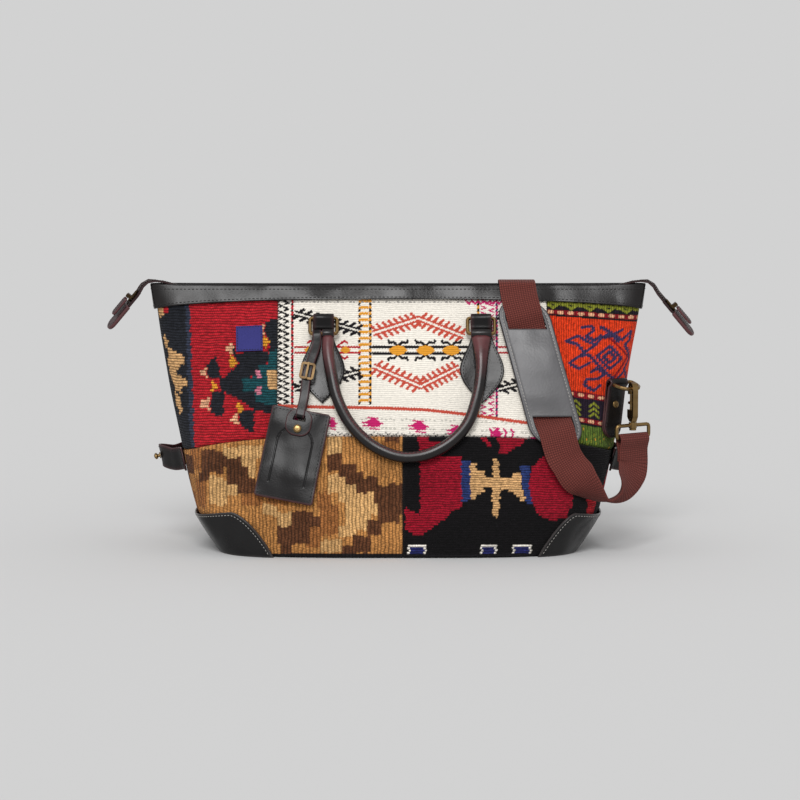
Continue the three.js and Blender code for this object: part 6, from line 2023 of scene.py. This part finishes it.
# %% Pad
PAD_HEIGHT, PAD_MIDDLE, PAD_SLANT = BAG_HEIGHT - 87, 146, 0.27
PAD_LEAN = math.atan(PAD_SLANT)
PAD_LIFT, PAD = 3.4, 3.0
PAD_HALF_LENGTH, PAD_HALF_WIDTH, PAD_ROUND = 72, 27, 20
SLOT_RISE, SLOT_HALF, SLOT_REACH = 51.5, 8.0, 20
PAD_SEAM = 4


def pad_x(z):
    return PAD_MIDDLE - PAD_SLANT * (np.asarray(z, float) - PAD_HEIGHT)


def pad_half_width(z):
    past = np.maximum(0, np.abs(np.asarray(z, float) - PAD_HEIGHT) - PAD_HALF_LENGTH + PAD_ROUND)
    return PAD_HALF_WIDTH - PAD_ROUND + np.sqrt(np.maximum(0, PAD_ROUND**2 - past**2))


def pad_grid():
    """Lines across and along the pad, with exact lines at the edges of its two slots."""
    low, high = PAD_HEIGHT - PAD_HALF_LENGTH, PAD_HEIGHT + PAD_HALF_LENGTH
    edges = [way * SLOT_RISE + side * SLOT_HALF for way in (-1, 1) for side in (-1, 1)]
    spans = [low, *(PAD_HEIGHT + edge for edge in edges), high]
    parts = [np.linspace(a, b, int((b - a) / 1.5) + 1)[:-1] for a, b in zip(spans, spans[1:])]
    z = np.concatenate([*parts, [high]])
    z = np.unique(np.concatenate([z, low + np.array([0.3, 0.8]), high - np.array([0.3, 0.8])]).round(4))
    slots = [int(np.searchsorted(z, v - 1e-3)) for v in spans[1:5]]
    slot_ends = np.array([-SLOT_REACH, SLOT_REACH]) / PAD_HALF_WIDTH
    k = np.concatenate([np.linspace(-1, 1, 45), slot_ends, [-0.985, -0.95, 0.95, 0.985]])
    k = np.unique(k.round(5))
    columns = [int(np.searchsorted(k, v - 1e-4)) for v in slot_ends]
    return k, z, [(slots[0], slots[1], *columns), (slots[2], slots[3], *columns)]


k, z, slots = pad_grid()
half = np.maximum(pad_half_width(z), 0.6)[:, None]
x = pad_x(z)[:, None] + k[None, :] * half
height = np.broadcast_to(z[:, None], x.shape)
rim = np.minimum((1 - np.abs(k))[None, :] * half, np.minimum(z - z[0], z[-1] - z)[:, None])
puff = 1.6 * (1 - np.exp(-rim / 7))
middle_part = np.clip((SLOT_RISE - SLOT_HALF - np.abs(height - PAD_HEIGHT)) / 22, 0, 1)
fullness = 0.2 + 0.8 * middle_part**2 * (3 - 2 * middle_part)
seam_dip = 0.9 * np.exp(-(((rim - PAD_SEAM) / 0.9) ** 2))
stand = rounded(rim, PAD)
top = face_point(x, height, PAD_LIFT + PAD / 2 + stand + puff * fullness - seam_dip * 0.6)
bottom = face_point(x, height, PAD_LIFT + PAD / 2 - stand)
# The pad's grey leather is made lighter as a painted sheen.
pad = closed_slab("shoulder_pad_leather", top, bottom, rim, "bag", PAD_LEATHER_AND_SHEEN, slots)
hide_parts("shoulder_pad")
seam_low, seam_high = PAD_HEIGHT - PAD_HALF_LENGTH + PAD_SEAM, PAD_HEIGHT + PAD_HALF_LENGTH - PAD_SEAM
zs = np.concatenate([np.linspace(seam_low, seam_high, 80), np.linspace(seam_high, seam_low, 80)])
way = np.repeat([-1.0, 1.0], 80)
line_x = pad_x(zs) + way * np.maximum(pad_half_width(zs) - PAD_SEAM, 0)
seam = face_point(line_x, zs, np.full(len(zs), PAD_LIFT + PAD + 0.15))
seam_out = skin_normal(face_angle(line_x, zs), zs)
stitch_row("shoulder_pad_stitches", seam, seam_out, "bag", PALE_THREAD, pitch=3.6, length=2.4)
print("pad slots at rows", slots)

# %% Webbing
WEB_WIDTH, WEB = 38.0, 2.0


def on_face(x, z, out, lean):
    return face_point(x, z, out), tilted_axes(x, z, lean)[1]


def on_back(x, z, out, lean):
    at, across = on_face(-x, z, out, math.radians(180 + lean))
    return at * half_turn(True), across * half_turn(True)


def on_pad(z, out):
    return on_face(float(pad_x(z)), z, out, PAD_LEAN)


def looped_end(axes, hang, fall):
    """The webbing's end, folded round the eye below the hook, from inside to outside."""
    at, across, _, out = axes
    outward = unit(np.cross(across, hang))
    ring_way = outward * math.cos(math.radians(fall)) - hang * math.sin(math.radians(fall))
    hook_foot = at + out * BAR_SEAT + ring_way * 20 - hang * (33 + 4 - 1.2 - WIRE / 2)
    eye_bar = hook_foot - hang * (0.6 + 3 + 13.0)
    bend, leg = WIRE / 2 + GAP + WEB / 2 + 0.6, WEB / 2 + GAP
    loop = [(-leg, -24), (-leg, -12), (-bend, -0.5), (0, bend), (bend, -0.5), (leg, -12), (leg + 0.2, -26)]
    return [(eye_bar + outward * a + hang * b, -across) for a, b in loop]


right_loop = looped_end(TAB_AXES["right"], np.array([0, 0, 1.0]), 15)
left_loop = looped_end(TAB_AXES["left"], TAB_AXES["left"][2], 50)
leg_foot = right_loop[-1][0]
OVER_PAD, UNDER_PAD = PAD_LIFT + PAD + CLOTH_LAY + WEB / 2, CLOTH_LAY + WEB / 2
rim_y, crest = MOUTH_HALF_DEPTH + CLOTH_LAY + LEATHER, BAG_HEIGHT + BAND_RISE + WEB / 2


def past_foot(x, y, z, *side):
    """A place below the foot of the right loop, where the strap turns over."""
    return leg_foot + [x, y, z], np.array(side, float)


web = [*right_loop, past_foot(-3, -6, -12, -0.75, -0.62, 0.2), past_foot(-10, -14, -25, -0.5, -0.82, 0.25)]
web += [past_foot(-21, -22, -33, -0.15, -0.97, 0.1), past_foot(-35, -29, -35, 0.25, -0.95, 0.15)]
web += [(face_point(184, 73, 18), np.array([0.72, -0.5, 0.45])), on_face(173, 94, 9, math.radians(18))]
web += [
    on_pad(PAD_HEIGHT - 81, OVER_PAD), on_pad(PAD_HEIGHT - 57.5, OVER_PAD),
    on_pad(PAD_HEIGHT - 45.5, UNDER_PAD),
]
web += [on_pad(PAD_HEIGHT + z, UNDER_PAD) for z in (-26, 0, 26, 45.5)]
web += [
    on_pad(PAD_HEIGHT + 57.5, OVER_PAD), on_pad(PAD_HEIGHT + 72, OVER_PAD),
    on_face(125, 267, 6, math.radians(6)),
]
rim_run = ((-rim_y - 1, 0.6), (-rim_y / 2, 2.2), (rim_y / 2, 2.2), (rim_y + 1, 0.6))
web += [(np.array([124, y, crest + lift]), np.array([1.0, 0, 0])) for y, lift in rim_run]
web += [
    on_back(125, 267, 6, 0), on_back(126, 240, 3, 0), on_back(126, 200, 2.4, 2), on_back(121, 160, 2.4, 14),
]
web += [
    on_back(106, 124, 2.4, 32), on_back(80, 93, 2.6, 55), on_back(45, 74, 2.8, 76), on_back(0, 66, 3, 87),
]
web += [on_back(-50, 63, 3, 91), on_back(-100, 64, 4, 97), on_back(-138, 67, 8, 110)]
web += [on_back(-165, 75, 14, 133), on_back(-181, 86, 19, 157)]
web += [(p * half_turn(True), s) for p, s in reversed(left_loop)]
web_line = smooth_path([p for p, _ in web], 12)
web_side = unit(smooth_path([s for _, s in web], 12))
strap = strip("shoulder_strap_webbing", web_line, web_side, WEB_WIDTH, WEB, "bag", WEBBING, "webbing")
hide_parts("shoulder_strap")
print("webbing length", round(path_length(web_line)), "mm")

# %% [markdown]
# ## Lining, base, brass and label
# The lining and the board lie inside the closed bag. The base panel and all brass fittings keep the
# frame's own solids, with softened edges. A small plain woven label is sewn to the red patch.

# %% Lining
LINING_INSET, LINING_FOOT, LINING_TOP = -5.4, 6.6, 266
LINING_ROWS, LINING_COLUMNS = 60, 160
levels = np.linspace(LINING_FOOT, LINING_TOP, LINING_ROWS)
around = np.linspace(0, 2 * math.pi, LINING_COLUMNS, endpoint=False)
foot = skin(around, np.full(LINING_COLUMNS, LINING_FOOT), LINING_INSET)
foot_rings = np.stack([foot * [s, s, 1] for s in (0.05, 0.35, 0.7)])
sheet_points = np.concatenate([foot_rings, skin(around[None, :], levels[:, None], LINING_INSET)])
faces = grid_faces(*sheet_points.shape[:2], wrap_columns=True)
piece = make_mesh("lining_cloth", sheet_points, [faces], "bag", COTTON)
rows_up = np.arange(len(sheet_points))[:, None] * 4.4
set_flat(piece, np.stack(np.broadcast_arrays(around * 100, rows_up), -1))
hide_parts("lining")
girth = skin_run(np.linspace(0, 2 * math.pi, 400), levels.mean(), LINING_INSET)[-1]
wall = path_length(skin(np.zeros(LINING_ROWS), levels, LINING_INSET))

# %% Firm parts keep the frame's solids
for node, solid in nodes.items():
    if solid.hide_render:
        continue
    leather_part = node == "base_panel"
    metal = DULL_BRASS if "buckle" in node or "slider" in node else BRASS
    solid.data.materials.clear()
    solid.data.materials.append(BLACK_LEATHER if leather_part else BOARD if node == "base_board" else metal)
    solid.data.polygons.foreach_set("use_smooth", np.full(len(solid.data.polygons), True))
    solid.data.set_sharp_from_angle(angle=math.radians(48))
    soften = solid.modifiers.new("soft_edges", "BEVEL")
    soften.width = 0.0009 if leather_part else 0.00035
    soften.segments = 3
    soften.limit_method = "ANGLE"
    soften.angle_limit = math.radians(50)
    soften.harden_normals = False
print("solids kept:", sum(not n.hide_render for n in nodes.values()))

# %% Label


def place_seen(across, down):
    """The x and z on the front that appear at a place on the pattern sheet."""
    scale, z = FOCAL_LENGTH / VIEW_DISTANCE, 200.0
    for _ in range(30):
        x = 0.0
        for _ in range(6):
            angle = face_angle(np.array(x), np.array(z))
            x += (across - float(sheet_place(angle, np.array(z))[0])) / scale
        z += (float(sheet_place(angle, np.array(z))[1]) - down) / scale
    return x, z


label_x, label_z = place_seen(249.4, 338.6)
label_axes = tilted_axes(label_x, label_z, math.radians(2.5))
LABEL, LABEL_LIFT, LABEL_SEAM = 27.5, 0.75, 12.4
k = (graded(LABEL, 1.2, 0.6) - 0.5) * LABEL
x, y = np.meshgrid(k, k)
rim = np.clip(box_distance(x, y, LABEL / 2, LABEL / 2, 0.6), 0, None)
stand = rounded(rim, 1.1)
top, bottom = (on_plane(label_axes, x, y, LABEL_LIFT + way * stand) for way in (1, -1))
label = closed_slab("woven_label", top, bottom, rim, "bag", NAVY_LABEL)
set_flat(label, np.tile(np.stack([x, y], -1).reshape(-1, 2), (2, 1)))
border = np.array([(-1, -1), (1, -1), (1, 1), (-1, 1), (-1, -1)]) * LABEL_SEAM
seam = on_plane(label_axes, *border.T, 1.35)
stitch_row("woven_label_stitches", seam, label_axes[3], "bag", pitch=2.8, length=1.8, radius=0.3)
print("label at", round(label_x), round(label_z))

# %% [markdown]
# ## Bringing the scene up to date
# The dressed bag has to stay close to the frame's box.

# %% Update the scene
bpy.context.view_layer.update()
